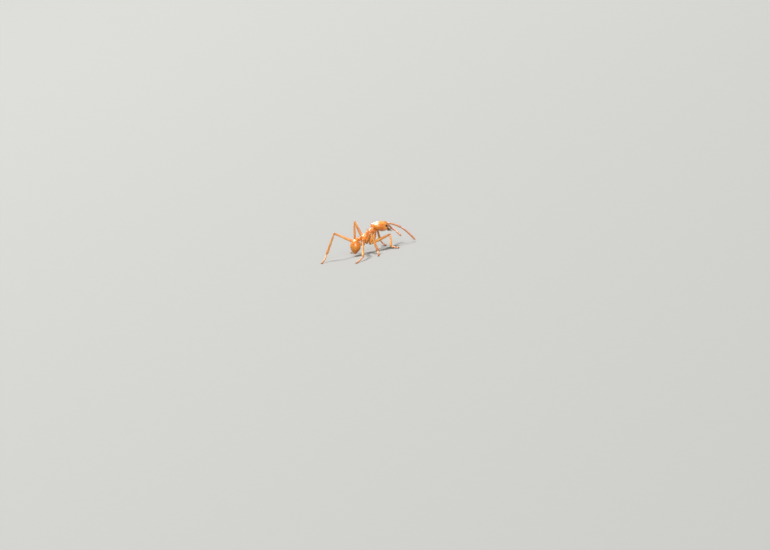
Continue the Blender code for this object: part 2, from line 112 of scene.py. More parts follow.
# soft step from 0 at the first place to 1 at the second: t ^ 2 (3 - 2 t)
def smooth(x, low, high):
    t = np.clip((x - low) / (high - low), 0, 1)
    return t * t * (3 - 2 * t)


# 1 between two soft steps: up over the first pair of places, down over the second
def window(x, rise, fall):
    return smooth(x, *rise) * (1 - smooth(x, *fall))


# outward normals of a grid closed round its columns: the cross product of its two differences
def normalsOf(grid):
    n = np.cross(np.roll(grid, -1, axis=1) - np.roll(grid, 1, axis=1), np.gradient(grid, axis=0))
    n /= np.maximum(np.linalg.norm(n, axis=-1, keepdims=True), 1e-12)
    out = grid - grid.mean(axis=1, keepdims=True)
    return n if (n * out).sum() > 0 else -n


# tube along a path: each ring is centre + radius * (cos * across + sin * upward), across = along x up;
# radii are one number a ring, or two for an oval section. Smaller rings round off the ends
def limbGrid(path, radii, columns=28, up=(0.13, 0.21, 0.97)):
    path, radii = np.asarray(path, float), np.asarray(radii, float)
    if radii.ndim == 1:
        radii = np.column_stack([radii, radii])
    along = unit(np.gradient(path, axis=0))
    for end, way in ((0, -1), (-1, 1)):
        reach = min(radii[end].mean(), 0.8 * radii[end].max())
        caps = (path[end] + way * along[end] * reach * np.sin(capAngles)[:, None],
                radii[end] * np.cos(capAngles)[:, None], np.repeat(along[end][None], len(capAngles), axis=0))
        path, radii, along = (np.vstack((old, cap[::way])[::way]) for old, cap in zip((path, radii, along), caps))
    across = unit(np.cross(along, up))
    upward = np.cross(across, along)
    c, s = roundSection(columns)
    return (path[:, None] + radii[:, None, :1] * c[None, :, None] * across[:, None]
            + radii[:, None, 1:] * s[None, :, None] * upward[:, None])


# shade of each ring of a limb, held on over the rings that round off its ends
def ringShade(values):
    return np.pad(values, len(capAngles), mode="edge")[:, None]


# ring angles from pole to pole, short of both by a gap
def poleToPole(rows, gap=0.06):
    return np.linspace(gap, np.pi - gap, rows)


# ellipsoid as rings of a sine-sized circle along its first axis, with its three half axes given as vectors
def eggGrid(place, halfAxes, rows=24, columns=32):
    v = poleToPole(rows)[:, None, None]
    c, s = (w[None, :, None] for w in roundSection(columns))
    long, wide, high = (np.asarray(h, float) for h in halfAxes)
    return np.asarray(place, float) - np.cos(v) * long + np.sin(v) * (c * wide + s * high)


def addObject(name, data):
    made = bpy.data.objects.new(name, data)
    bpy.context.scene.collection.objects.link(made)
    return made


# eye_left gives eyeLeft
def pieceName(node):
    first, *rest = node.split("_")
    return first + "".join(word.capitalize() for word in rest)


# piece from points in the ant's own millimetres. shade is a number at each vertex, dark at 1.
# A piece that stands for a node hides that node's part
def addPiece(name, points, faces, shade, finish, node=None):
    mesh = bpy.data.meshes.new(name)
    mesh.from_pydata(((points + home) * mm).tolist(), [], faces)
    mesh.attributes.new("shade", "FLOAT", "POINT").data.foreach_set("value", shade.astype(np.float32))
    mesh.shade_smooth()
    mesh.materials.append(bpy.data.materials[finish])
    piece = addObject(name, mesh)
    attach(piece, "root")
    if node:
        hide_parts(node)
    return piece


# one piece from several grids closed round their columns; each end is closed by a point in the ring's middle.
# shades has a number, or one for each ring or each vertex, for every grid
def makePiece(grids, shades, finish, node=None, name=None):
    vertices, faces, dark, base = [], [], [], 0
    for grid, shade in zip(grids, shades):
        rows, columns = grid.shape[:2]
        here = np.arange(rows * columns).reshape(rows, columns)
        after = np.roll(here, -1, axis=1)
        quads = np.stack([here[:-1], after[:-1], after[1:], here[1:]], axis=-1).reshape(-1, 4)
        caps = np.vstack([np.column_stack([after[0], here[0], np.full(columns, here.size)]),
                          np.column_stack([here[-1], after[-1], np.full(columns, here.size + 1)])])
        points = np.vstack([grid.reshape(-1, 3), grid[0].mean(axis=0), grid[-1].mean(axis=0)])
        triangles = np.vstack([quads[:, :3], quads[:, [0, 2, 3]], caps])
        p, q, r = np.moveaxis(points[triangles] - points.mean(axis=0), 1, 0)
        if (p * np.cross(q, r)).sum() < 0:  # the volume is negative, so the faces point inwards
            quads, caps = quads[:, ::-1], caps[:, ::-1]
        vertices.append(points)
        faces += (quads + base).tolist() + (caps + base).tolist()
        shade = np.broadcast_to(shade, (rows, columns))
        dark.append(np.concatenate([shade.ravel(), [shade[0].mean(), shade[-1].mean()]]))
        base += len(points)
    addPiece(name or pieceName(node), np.vstack(vertices), faces, np.concatenate(dark), finish, node)


# home is where the ant's own axes lie: it puts the head's eyes on the eyes of the solids
headFrame = {"pitch": -17.0, "centre": (6.05, 0.0, 4.35)}
eyeForm = {"place": (0.97, 1.32, 0.20), "size": (0.27, 0.16, 0.22), "turn": -20,
           "socket": (0.27, 0.40, 0.22), "lenses": 16, "lensRise": 0.006}
eyeMiddle = np.mean([np.array(corner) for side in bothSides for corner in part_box(f"eye_{side}")], axis=0) / mm
home = eyeMiddle - tilted((eyeForm["place"][0], 0, eyeForm["place"][2]), headFrame["pitch"], headFrame["centre"])


def inHead(points):
    return tilted(points, headFrame["pitch"], headFrame["centre"])


def headWay(vector):
    return tilted(vector, headFrame["pitch"])


# sets the inputs of a node, or links them where the value is a socket
def setInputs(tree, node, values):
    for key, value in values.items():
        if isinstance(value, bpy.types.NodeSocket):
            tree.links.new(value, node.inputs[key])
        else:
            node.inputs[key].default_value = value


def addNode(tree, kind, values=None, **settings):
    node = tree.nodes.new(kind)
    for key, value in settings.items():
        setattr(node, key, value)
    setInputs(tree, node, values or {})
    return node


# texture fixed to the ant
def texture(tree, kind, output, values, **settings):
    place = addNode(tree, "ShaderNodeTexCoord").outputs["Object"]
    return addNode(tree, f"ShaderNodeTex{kind}", {"Vector": place, **values}, **settings).outputs[output]


def calculate(tree, operation, first, second):
    return addNode(tree, "ShaderNodeMath", {0: first, 1: second}, operation=operation).outputs[0]


# value carried from one range to another, and kept inside it
def mapRange(tree, value, source=(0.0, 1.0), target=(0.0, 1.0)):
    ranges = zip(("From Min", "From Max", "To Min", "To Max"), source + target)
    return addNode(tree, "ShaderNodeMapRange", {"Value": value, **dict(ranges)}).outputs["Result"]


# colour that goes from the first to the second as the factor goes from 0 to 1
def mixColours(tree, factor, first, second):
    first, second = (c if isinstance(c, bpy.types.NodeSocket) else (*c, 1) for c in (first, second))
    return addNode(tree, "ShaderNodeMix", {0: factor, 6: first, 7: second}, data_type="RGBA").outputs[2]


# node group whose inputs have names and values, a colour where the value is a tuple
def nodeGroup(name, inputs, outputs):
    group = bpy.data.node_groups.new(name, "ShaderNodeTree")
    for title, value in inputs.items():
        kind = "NodeSocketColor" if isinstance(value, tuple) else "NodeSocketFloat"
        group.interface.new_socket(title, in_out="INPUT", socket_type=kind).default_value = value
    for title, kind in outputs.items():
        group.interface.new_socket(title, in_out="OUTPUT", socket_type=kind)
    return group, group.nodes.new("NodeGroupInput").outputs, group.nodes.new("NodeGroupOutput")


def newMaterial(name):
    made = bpy.data.materials.new(name)
    made.use_nodes = True
    return made.node_tree, made.node_tree.nodes["Principled BSDF"]


sculpture = {"cellEdge": 0.25, "waves": {"Detail": 5.0, "Roughness": 0.6},
             "blotches": {"Scale": 900.0, "Detail": 6.0, "Roughness": 0.55}, "mottle": (0.36, 0.66)}


# fine sculpture of the shell: a net of tiny cells added to long soft waves, and a mottle for its colour
def buildCuticle():
    group, start, end = nodeGroup("cuticleSculpture", {"Net scale": 20000.0, "Net depth": 0.5, "Wave scale": 2500.0},
                                  {"Height": "NodeSocketFloat", "Mottle": "NodeSocketFloat"})
    net = texture(group, "Voronoi", "Distance", {"Scale": start["Net scale"]}, feature="DISTANCE_TO_EDGE")
    cells = calculate(group, "MULTIPLY", mapRange(group, net, (0.0, sculpture["cellEdge"])), start["Net depth"])
    waves = texture(group, "Noise", "Fac", {"Scale": start["Wave scale"], **sculpture["waves"]})
    blotches = texture(group, "Noise", "Fac", sculpture["blotches"])
    setInputs(group, end, {"Height": calculate(group, "ADD", cells, waves),
                           "Mottle": mapRange(group, blotches, sculpture["mottle"])})
    return group


# colour of the shell: pale and deep tones mixed by the mottle, darkened where the shade is high; the shade holds dark
# joints and tips, and painted shade in grooves, hollows and underneath
def buildTone():
    group, start, end = nodeGroup("cuticleTone", {
        "Pale": (0.8, 0.3, 0.05, 1), "Deep": (0.6, 0.2, 0.03, 1), "Dark": (0.2, 0.04, 0.01, 1),
        "Mottle": 0.5, "Shade": 0.0}, {"Color": "NodeSocketColor"})
    body = mixColours(group, start["Mottle"], start["Pale"], start["Deep"])
    setInputs(group, end, {"Color": mixColours(group, start["Shade"], body, start["Dark"])})
    return group


cuticle, tone = buildCuticle(), buildTone()

finishes = {
    "headShell": {"pale": (0.84, 0.320, 0.022), "deep": (0.68, 0.180, 0.007), "dark": (0.20, 0.030, 0.006),
                  "rough": (0.28, 0.40), "net": 26000, "netDepth": 0.35, "bump": 0.20, "soft": 0.25, "coat": 0.45},
    "bodyShell": {"pale": (0.84, 0.310, 0.022), "deep": (0.64, 0.160, 0.006), "dark": (0.20, 0.030, 0.006),
                  "rough": (0.30, 0.44), "net": 22000, "netDepth": 0.45, "bump": 0.26, "soft": 0.25, "coat": 0.40},
    "gasterShell": {"pale": (0.84, 0.315, 0.018), "deep": (0.68, 0.175, 0.006), "dark": (0.24, 0.042, 0.007),
                    "rough": (0.25, 0.36), "net": 30000, "netDepth": 0.20, "bump": 0.14, "soft": 0.28, "coat": 0.50},
    "legShell": {"pale": (0.78, 0.350, 0.058), "deep": (0.60, 0.190, 0.018), "dark": (0.24, 0.048, 0.010),
                 "rough": (0.34, 0.48), "net": 30000, "netDepth": 0.40, "bump": 0.28, "soft": 0.35, "coat": 0.30},
    "feelerShell": {"pale": (0.60, 0.26, 0.110), "deep": (0.48, 0.16, 0.055), "dark": (0.20, 0.045, 0.018),
                    "rough": (0.38, 0.52), "net": 34000, "netDepth": 0.45, "bump": 0.28, "soft": 0.35, "coat": 0.20},
    "jawShell": {"pale": (0.22, 0.042, 0.011), "deep": (0.11, 0.018, 0.006), "dark": (0.018, 0.004, 0.003),
                 "rough": (0.18, 0.30), "net": 24000, "netDepth": 0.25, "bump": 0.20, "soft": 0.05, "coat": 0.50},
    "clawShell": {"pale": (0.40, 0.12, 0.03), "deep": (0.25, 0.06, 0.015), "dark": (0.05, 0.012, 0.006),
                  "rough": (0.22, 0.34), "net": 30000, "netDepth": 0.15, "bump": 0.12, "soft": 0.15, "coat": 0.40}}
everyShell = {"Subsurface Radius": (1.0, 0.35, 0.10), "Subsurface Scale": 0.00025, "Coat Roughness": 0.18, "IOR": 1.55}
shellReliefDepth = 0.00002


def shellMaterial(name, look):
    tree, shader = newMaterial(name)
    grain = addNode(tree, "ShaderNodeGroup", {"Net scale": look["net"], "Net depth": look["netDepth"]},
                    node_tree=cuticle).outputs
    shade = addNode(tree, "ShaderNodeAttribute", attribute_name="shade").outputs["Fac"]
    tones = {title.capitalize(): (*look[title], 1) for title in ("pale", "deep", "dark")}
    colour = addNode(tree, "ShaderNodeGroup", {**tones, "Mottle": grain["Mottle"], "Shade": shade}, node_tree=tone)
    relief = addNode(tree, "ShaderNodeBump", {"Height": grain["Height"], "Strength": look["bump"],
                                              "Distance": shellReliefDepth})
    setInputs(tree, shader, {
        "Base Color": colour.outputs["Color"], "Roughness": mapRange(tree, grain["Mottle"], target=look["rough"]),
        "Normal": relief.outputs["Normal"], "Subsurface Weight": look["soft"], "Coat Weight": look["coat"],
        **everyShell})


eyeLook = {"cells": {"Scale": 36000.0, "Randomness": 0.35}, "middle": (0.012, 0.008, 0.007),
           "edge": (0.003, 0.002, 0.002), "relief": {"Strength": 0.5, "Distance": 0.00001},
           "gloss": {"Roughness": 0.30, "Coat Weight": 0.25, "Coat Roughness": 0.10}}


# eyes: black lenses in a close hexagonal net, each darker and lower towards its edge, with a clear coat
def eyeMaterial():
    tree, shader = newMaterial("eyeLens")
    lens = texture(tree, "Voronoi", "Distance", eyeLook["cells"])
    relief = addNode(tree, "ShaderNodeBump", {"Height": calculate(tree, "SUBTRACT", 1.0, lens), **eyeLook["relief"]})
    setInputs(tree, shader, {"Base Color": mixColours(tree, lens, eyeLook["middle"], eyeLook["edge"]),
                             "Normal": relief.outputs["Normal"], **eyeLook["gloss"]})


hairLook = {"noise": {"Scale": 6000.0}, "root": ((0.62, 0.27, 0.07), (0.78, 0.42, 0.15)), "tip": (0.92, 0.66, 0.36),
            "body": {"Roughness": 0.42, "Subsurface Weight": 0.3, "Subsurface Scale": 0.0001}}


# hairs: straw-coloured bristle, paler towards the tip
def hairMaterial():
    tree, shader = newMaterial("bristle")
    tip = addNode(tree, "ShaderNodeAttribute", attribute_name="shade").outputs["Fac"]
    root = mixColours(tree, texture(tree, "Noise", "Fac", hairLook["noise"]), *hairLook["root"])
    setInputs(tree, shader, {"Base Color": mixColours(tree, tip, root, hairLook["tip"]), **hairLook["body"]})


for name, look in finishes.items():
    shellMaterial(name, look)
eyeMaterial()
hairMaterial()
print("materials ready")

# bristles of each kind: coat, how many on a piece, length, lean from the shell's normal in degrees, thickness
bristles = {
    "headShort": ("headHairs", 1000, 0.15, 60, 0.013), "headLong": ("headHairs", 90, 0.34, 28, 0.018),
    "jaw": ("headHairs", 70, 0.26, 40, 0.016), "scape": ("feelerHairs", 260, 0.15, 50, 0.012),
    "lash": ("feelerHairs", 900, 0.10, 42, 0.010), "plate": ("bodyHairs", 240, 0.22, 38, 0.015),
    "waist": ("bodyHairs", 70, 0.20, 30, 0.015), "gaster": ("gasterHairs", 420, 0.24, 48, 0.014),
    "coxa": ("legHairs", 90, 0.18, 35, 0.014), "femurShort": ("legHairs", 420, 0.17, 52, 0.012),
    "femurLong": ("legHairs", 80, 0.32, 34, 0.018), "tibiaShort": ("legHairs", 380, 0.19, 46, 0.013),
    "tibiaLong": ("legHairs", 100, 0.34, 36, 0.018), "foot": ("legHairs", 320, 0.15, 40, 0.012)}
beds = {}  # coat -> the grids that its hairs grow on


# the hairs lean along way, or down the grid's rows where none is given
def bed(kind, grid, way=None, count=None):
    coat, usual, length, lean, thick = bristles[kind]
    beds.setdefault(coat, []).append((grid, count or usual, length, lean, thick, way))


skull = {
    "ends": (-1.85, 1.70), "firstRing": 0.09, "squareness": 2.25, "endRound": (0.19, 0.195),
    "top": [(-1.9, -0.12), (-1.6, 0.24), (-1.3, 0.49), (-0.9, 0.76), (-0.4, 0.95), (0.3, 1.02), (0.9, 0.95),
            (1.3, 0.76), (1.54, 0.51), (1.68, 0.12)],
    "bottom": [(-1.9, -0.18), (-1.6, -0.36), (-1.2, -0.52), (-0.7, -0.72), (-0.2, -0.91), (0.4, -0.99),
               (0.9, -0.93), (1.3, -0.68), (1.54, -0.42), (1.68, 0.0)],
    "side": [(-1.9, 0.30), (-1.75, 0.88), (-1.45, 1.32), (-1.0, 1.64), (-0.45, 1.77), (0.2, 1.70),
             (0.75, 1.50), (1.2, 1.26), (1.5, 1.00), (1.68, 0.60)],
    "rear": (0.3, -1.6), "notch": (0.78, 0.62), "furrow": (0.16, 0.30), "furrowEnd": (-1.75, -1.25),
    "furrowSides": (0.1, 0.4), "socket": (1.27, 0.60, 0.60),
    "spine": ((-1.42, 1.04, 0.24), (-0.72, 0.42, 0.42), 0.34, 0.26), "spineShade": (0.1, 0.7)}
frontalLobe = {
    "place": (1.20, 0.50, 0.75), "reach": 0.40, "tail": 0.95, "turn": 24, "slope": 0.16, "drop": 0.06,
    "frontShade": (0.35, 0.06),
    "form": [(0.0, 0.06, 0.02), (0.03, 0.13, 0.05), (0.09, 0.19, 0.08), (0.20, 0.23, 0.10), (0.32, 0.23, 0.11),
             (0.48, 0.18, 0.10), (0.68, 0.10, 0.07), (0.88, 0.05, 0.04), (1.0, 0.03, 0.02)]}
allAlong = (-9, -8)  # a ridge with this rise starts before the face does
face = {
    "upper": (0.0, 0.4), "mouth": (1.17, 1.36),
    # height, place, size
    "bells": {"fossa": (-0.15, (1.29, 0.74, 0.50), (0.22, 0.13, 0.25)),
              "frontTriangle": (-0.05, (0.98, 0.0, 0.92), (0.16, 0.16, 0.3)),
              "clypeus": (0.07, (1.45, 0.0, 0.52), (0.25, 0.34, 0.5)),
              "rearLobe": (0.05, (-1.15, 1.0, 0.34), (0.5, 0.4, 0.5)),
              "rearLobeTop": (0.05, (-1.46, 1.06, 0.26), (0.2, 0.2, 0.3)),
              "cheek": (0.05, (1.32, 1.02, -0.28), (0.28, 0.3, 0.3)),
              "throat": (-0.16, (1.22, 0.0, -0.75), (0.6, 0.26, 0.5)),
              "throatLip": (0.04, (1.25, 0.40, -0.75), (0.5, 0.07, 0.4))},
    # height, width, start and slope of its line, where it rises and where it falls
    "ridges": {"carina": (0.05, 0.035, (0.84, -0.20), (0.25, 0.75), (1.1, 1.25)),
               "midline": (-0.028, 0.028, (0.0, 0.0), (-1.2, -0.5), (0.9, 1.05)),
               "clypeusEdge": (-0.05, 0.035, (1.12, 0.40), allAlong, (0.48, 0.6)),
               "cheekLine": (-0.045, 0.035, (0.851, -0.55), (-0.25, -0.1), (0.40, 0.5)),
               "lipEdge": (0.05, 0.05, (-0.12, 0.0), allAlong, (0.7, 0.95)),
               "lipGroove": (-0.04, 0.04, (-0.01, 0.0), allAlong, (0.7, 0.95))},
    "lipGap": (1.4, 0.07), "orbit": ((-0.045, 1.12, 0.13), (0.02, 1.45, 0.2)),
    "shelf": {"height": 0.13, "length": ((0.40, 0.95), (1.42, 1.56)), "above": (0.22, 0.47),
              "inner": (0.12, 0.5), "outer": (0.75, 0.87), "slant": -0.1},
    # the front below the clypeus is darker: partly a darker margin of the cuticle, partly painted shade under the face
    "darkFront": {"amount": 0.95, "reach": (1.40, 1.72), "outward": 0.30, "below": (0.05, 0.45)},
    # painted shade: how dark the lines, the orbit and the feeler's socket are for their depth
    "paintedHollowShade": (14, 8, 3), "darkest": 0.85}


# ridge or groove of the face: height * ridge of (across - start - slope * along), between its soft ends
def faceRidge(name, across, along):
    height, width, (start, slope), rise, fall = face["ridges"][name]
    return height * ridge(across - start - slope * along, width) * window(along, rise, fall)


# face: bells, ridges, the shelf over each feeler socket and the orbits of the eyes, by the place forward, out from
# the middle and up. Grooves, sockets and the orbit's groove get painted shade by their depth; the front below the
# clypeus is darker, partly a darker margin of the cuticle and partly painted shade
def faceRelief(fore, wide, tall):
    place = np.stack([fore, wide, tall], axis=-1)
    upper, mouth = smooth(tall, *face["upper"]), smooth(fore, *face["mouth"])
    lifts = {name: height * bell(place, middle, size) for name, (height, middle, size) in face["bells"].items()}
    for name, across, along, where in (("carina", wide, fore, upper), ("midline", wide, fore, upper),
                                       ("clypeusEdge", fore, wide, upper), ("cheekLine", wide, tall, mouth)):
        lifts[name] = faceRidge(name, across, along) * where
    gap, gapWidth = face["lipGap"]
    lip = faceRidge("lipEdge", tall, wide) + faceRidge("lipGroove", tall, wide)
    lifts["lip"] = lip * mouth * (1 - gap * ridge(wide, gapWidth))
    shelf = face["shelf"]
    outer = np.array(shelf["outer"])[:, None, None] + shelf["slant"] * fore
    lifts["shelf"] = (shelf["height"] * window(wide, shelf["inner"], outer) * window(fore, *shelf["length"])
                      * smooth(tall, *shelf["above"]))
    rim = np.linalg.norm((place - eyeForm["place"]) / eyeForm["socket"], axis=-1)
    lifts["orbit"] = sum(height * ridge(rim - reach, width) for height, reach, width in face["orbit"])
    # front: the darker front below the clypeus, partly a darker margin of the cuticle and partly painted shade
    lines, front = lifts["midline"] + lifts["clypeusEdge"] + lifts["cheekLine"], face["darkFront"]
    inLines, inOrbit, inFossa = face["paintedHollowShade"]
    # painted shade in the grooves, the orbit's groove and the feeler's socket, deeper hollows darker
    dark = (np.clip(-inLines * lines - inOrbit * lifts["orbit"] - inFossa * lifts["fossa"], 0, 1)
            + front["amount"] * smooth(fore + front["outward"] * wide, *front["reach"])
            * (1 - smooth(tall, *front["below"])))
    return sum(lifts.values()), np.clip(dark, 0, face["darkest"])


# skull: the row angle gives x = -cos; each ring is a superellipse between the top, bottom and side outlines, closed
# to a quarter round at both ends, pushed forward in the middle by the notch and pressed in along the furrow.
# The face lifts it along its normals, and gives the painted shade of its grooves and hollows and its darker front
def skullGrid(rows=150, columns=216):
    low, high = skull["ends"]
    x = (low + high) / 2 - (high - low) / 2 * np.cos(poleToPole(rows, skull["firstRing"]))
    top, bottom, side = (through(skull[line], x)[:, 0] for line in ("top", "bottom", "side"))
    reach, radius = skull["endRound"]
    inside = np.minimum(x - low, high - x)
    close = np.sqrt(np.clip(1 - (np.clip(reach - inside, 0, None) / radius) ** 2, 0, 1))
    c, s = roundSection(columns, skull["squareness"])
    rear = smooth(x, *skull["rear"])[:, None]
    (notch, notchWidth), (furrow, furrowWidth) = skull["notch"], skull["furrow"]
    y = (side * close)[:, None] * c
    depth = furrow * smooth(x, *skull["furrowEnd"])[:, None] * rear * ridge(y, furrowWidth)
    fore = x[:, None] + notch * ridge(y, notchWidth) * rear
    tall = ((top + bottom) / 2)[:, None] + ((top - bottom) / 2 * close)[:, None] * s
    tall = tall - np.sign(s) * smooth(abs(s), *skull["furrowSides"]) * depth
    grid = np.stack([fore, y, tall], axis=-1)
    lift, dark = faceRelief(fore, abs(y), tall)
    return inHead(grid + lift[..., None] * normalsOf(grid)), dark


spineForm = [(-0.4, 0.8), (-0.12, 1.38), (0.04, 1.12), (0.2, 0.84), (0.5, 0.54), (0.85, 0.22), (1.0, 0.06)]


# spine: a cone on a flared foot that is buried in the shell; place = start + t * way * length
def spineGrid(start, way, length, thick):
    t = np.linspace(spineForm[0][0], 1.0, 36)
    path = np.asarray(start) + t[:, None] * unit(way) * length
    return limbGrid(path, through(spineForm, t)[:, 0] * thick / 2, 20)


# shade of a spine from its foot to its tip
def spineShade(spine, first, last, power=1.0):
    return np.linspace(first, last, len(spine))[:, None] ** power


# lenses of an eye: the sum of three cosine waves at 120 degrees over its round face makes a close hexagonal net
def facets(rows, columns):
    reach = np.sin(poleToPole(rows))[:, None]
    c, s = roundSection(columns)
    wave = 2 * np.pi * eyeForm["lenses"] / np.sqrt(3)
    net = sum(np.cos(wave * reach * (c * np.cos(a) + s * np.sin(a))) for a in np.radians((0, 120, 240)))
    return eyeForm["lensRise"] * smooth(net, -1.5, 2.0)


# frontal lobe: a flat tube that runs back along the brow, turned outwards in front;
# height = -slope * distance - drop * t ^ 4
def lobeGrid(side, rows=60):
    a, t = np.radians(side * frontalLobe["turn"]), np.linspace(0, 1, rows)
    x, y, z = frontalLobe["place"]
    ahead = frontalLobe["reach"] - (frontalLobe["reach"] + frontalLobe["tail"]) * t
    line = np.stack([x + np.cos(a) * ahead, side * y + np.sin(a) * ahead,
                     z - frontalLobe["slope"] * ahead - frontalLobe["drop"] * t ** 4], axis=-1)
    grid = limbGrid(inHead(line), through(frontalLobe["form"], t), 44, headWay((0, 0, 1)))
    dark, width = frontalLobe["frontShade"]
    return grid, ringShade(dark * ridge(t, width))


def buildHead():
    # the face's painted shade in its grooves and hollows, and its darker front
    grid, faceShadeAndMargin = skullGrid()
    grids, shades = [grid], [faceShadeAndMargin]
    for kind in ("headShort", "headLong"):
        bed(kind, grid, way=headWay((1, 0, 0)))
    place, way, length, thick = skull["spine"]
    for side in bothSides.values():
        lobe, dark = lobeGrid(side)
        spine = spineGrid(inHead(onSide(place, side)), headWay(onSide(way, side)), length, thick)
        grids += [lobe, spine]
        shades += [dark, spineShade(spine, *skull["spineShade"])]
    makePiece(grids, shades, "headShell", "head", "headCapsule")
    rows, columns = 100, 240
    for name, side in bothSides.items():
        long, deep, high = eyeForm["size"]
        a = np.radians(side * eyeForm["turn"])
        axes = [headWay(v) for v in ((-np.sin(a) * deep, np.cos(a) * deep, 0), (np.cos(a) * long, np.sin(a) * long, 0),
                                     (0, 0, high))]
        lens = eggGrid(inHead(onSide(eyeForm["place"], side)), axes, rows, columns)
        lens = lens + facets(rows, columns)[..., None] * normalsOf(lens)
        makePiece([lens], [0.0], "eyeLens", f"eye_{name}")


jaw = {"base": (1.20, 1.12), "tip": (2.56, 0.10), "inner": (1.76, 0.10), "hinge": (-0.05, -0.30), "edge": 0.98,
       "bulge": 0.34, "bulgeRun": 0.85, "bulgeFall": 1.5, "thick": (0.50, 0.20), "height": -0.30, "droop": 0.62,
       "droopRun": 1.4, "teeth": 9, "toothDepth": (0.15, 0.06), "bite": (0.72, 1.0), "blade": (0.80, 1.0),
       "bladeThin": 0.93, "root": 0.12, "grooves": 12, "grooveDepth": 0.004, "grooveRun": ((0.15, 0.4), (0.65, 0.85)),
       "hairWay": (1, 0, -0.4), "rootShade": 0.05, "shadeRun": (0.35, 0.95), "grooveShadeAndLight": 8}


# jaw: fans out from its hinge to the toothed edge. u runs hinge to edge, w across from the outer edge to the mouth;
# place = hinge + u * (edge(w) - hinge) + bulge on the outer side, with teeth as a saw along w that fades in with u.
# The ring angle gives w = (1 - cos) / 2 and the height thick * sin, so each ring is a lens, with fine grooves along u
def jawGrid(side, rows=80, columns=220):
    base, tip, inner = (np.array(jaw[k]) for k in ("base", "tip", "inner"))
    u = np.linspace(0.0, 1.0, rows)[:, None]
    angle = np.linspace(0, 2 * np.pi, columns, endpoint=False)[None]
    w = (1 - np.cos(angle)) / 2
    outward = unit((base[1] - tip[1], tip[0] - base[0]))
    saw = abs(((w * (jaw["teeth"] - 0.5)) % 1.0) * 2 - 1)
    reach = jaw["edge"] * u + smooth(u, *jaw["bite"]) * saw * np.interp(w, (0, 1), jaw["toothDepth"])
    hinge = base + np.array(jaw["hinge"]) * w[..., None]
    edge = tip + (inner - tip) * w[..., None]
    bulge = jaw["bulge"] * np.sin(np.pi * u ** jaw["bulgeRun"]) * (1 - w) ** jaw["bulgeFall"]
    flat = hinge + reach[..., None] * (edge - hinge) + bulge[..., None] * outward
    far = np.clip((flat[..., 0] - base[0]) / (tip[0] - base[0]), 0, 1)
    sharp = (1 - smooth(u, *jaw["blade"]) * jaw["bladeThin"]) * np.sqrt(np.clip(u / jaw["root"], 0.05, 1))
    grooves = jaw["grooveDepth"] * np.cos(2 * np.pi * jaw["grooves"] * w) * window(u, *jaw["grooveRun"])
    half = np.interp(far, (0, 1), jaw["thick"]) / 2 * sharp + grooves
    high = jaw["height"] - jaw["droop"] * far ** jaw["droopRun"] + half * np.sin(angle)
    p = np.stack([flat[..., 0], side * flat[..., 1], high], axis=-1)
    dark = jaw["rootShade"] + (1 - jaw["rootShade"]) * smooth(u, *jaw["shadeRun"])
    # painted shade in the fine grooves and painted light on the ridges between them; darker towards the biting edge
    return inHead(p), np.clip(dark - jaw["grooveShadeAndLight"] * grooves, 0, 1)


mouth = {"lip": ((1.57, 0, -0.16), ((0.20, 0, -0.16), (0, 0.34, 0), (0.03, 0, 0.06)), 0.6),
         # length, distance from the middle, thickness
         "palps": ((0.62, 0.30, 0.075), (0.42, 0.12, 0.06)), "palpRoot": (1.35, -0.55), "palpSway": 0.10,
         "palpFall": 0.30, "palpShade": 0.15, "beads": 4, "beadThick": (0.8, 0.35)}


# upper lip, and two pairs of palps that hang under the jaws, each a tube of four soft beads
def buildMouth():
    place, axes, shade = mouth["lip"]
    parts, shades = [eggGrid(inHead(place), [headWay(v) for v in axes])], [shade]
    x, z = mouth["palpRoot"]
    t = np.linspace(0, 1, 40)
    thin, swell = mouth["beadThick"]
    beads = thin + swell * abs(np.sin(mouth["beads"] * np.pi * t)) ** 0.6
    for side in bothSides.values():
        for reach, out, thick in mouth["palps"]:
            path = np.stack([x + reach * t, side * (out + mouth["palpSway"] * np.sin(3 * t)),
                             z - mouth["palpFall"] * t ** 1.6], axis=-1)
            parts.append(limbGrid(inHead(path), thick * beads, 14))
            shades.append(mouth["palpShade"])
    makePiece(parts, shades, "feelerShell", name="mouthparts")


def buildJaws():
    for name, side in bothSides.items():
        grid, shade = jawGrid(side)
        makePiece([grid], [shade], "jawShell", f"mandible_{name}")
        bed("jaw", grid, way=headWay(jaw["hairWay"]))
    buildMouth()


antenna = {
    "scapeLength": 3.0, "funiculusLength": 4.1, "scapeArch": 0.24, "funiculusArch": 0.28, "elbow": 0.12,
    "segments": 10, "neck": 0.76, "scapeShade": (0.6, 0.05, 0.04), "jointShade": (0.5, 0.09),
    "scape": [(0.0, 0.20), (0.03, 0.24), (0.06, 0.20), (0.09, 0.26), (0.3, 0.32), (0.7, 0.38), (0.92, 0.42),
              (0.98, 0.34), (1.0, 0.22)],
    "funiculus": [(0.0, 0.26), (0.10, 0.32), (0.5, 0.36), (0.82, 0.40), (0.93, 0.36), (0.98, 0.22), (1.0, 0.12)],
    "pose": {"left": ((52, -34), (-83, -20)), "right": ((34, -26), (60, -43.5))}}


# each joint of the feeler swells from a narrow neck to its far end; the last two are joined in a longer tip
def beaded(t, count, neck):
    share = np.where(t > 1 - 2 / count, (t - 1 + 2 / count) * count / 2, (t * count) % 1.0)
    return through([(0, neck), (0.07, neck + 0.04), (0.22, 0.95), (0.65, 1.0), (0.92, 0.97), (1.0, neck)], share)[:, 0]


# arched path: start + t * way * length, lifted by 4 t (1 - t) * arch
def archedPath(start, way, length, arch, t):
    return start + t[:, None] * way * length + (4 * t * (1 - t) * arch)[:, None] * np.array([0, 0, 1.0])


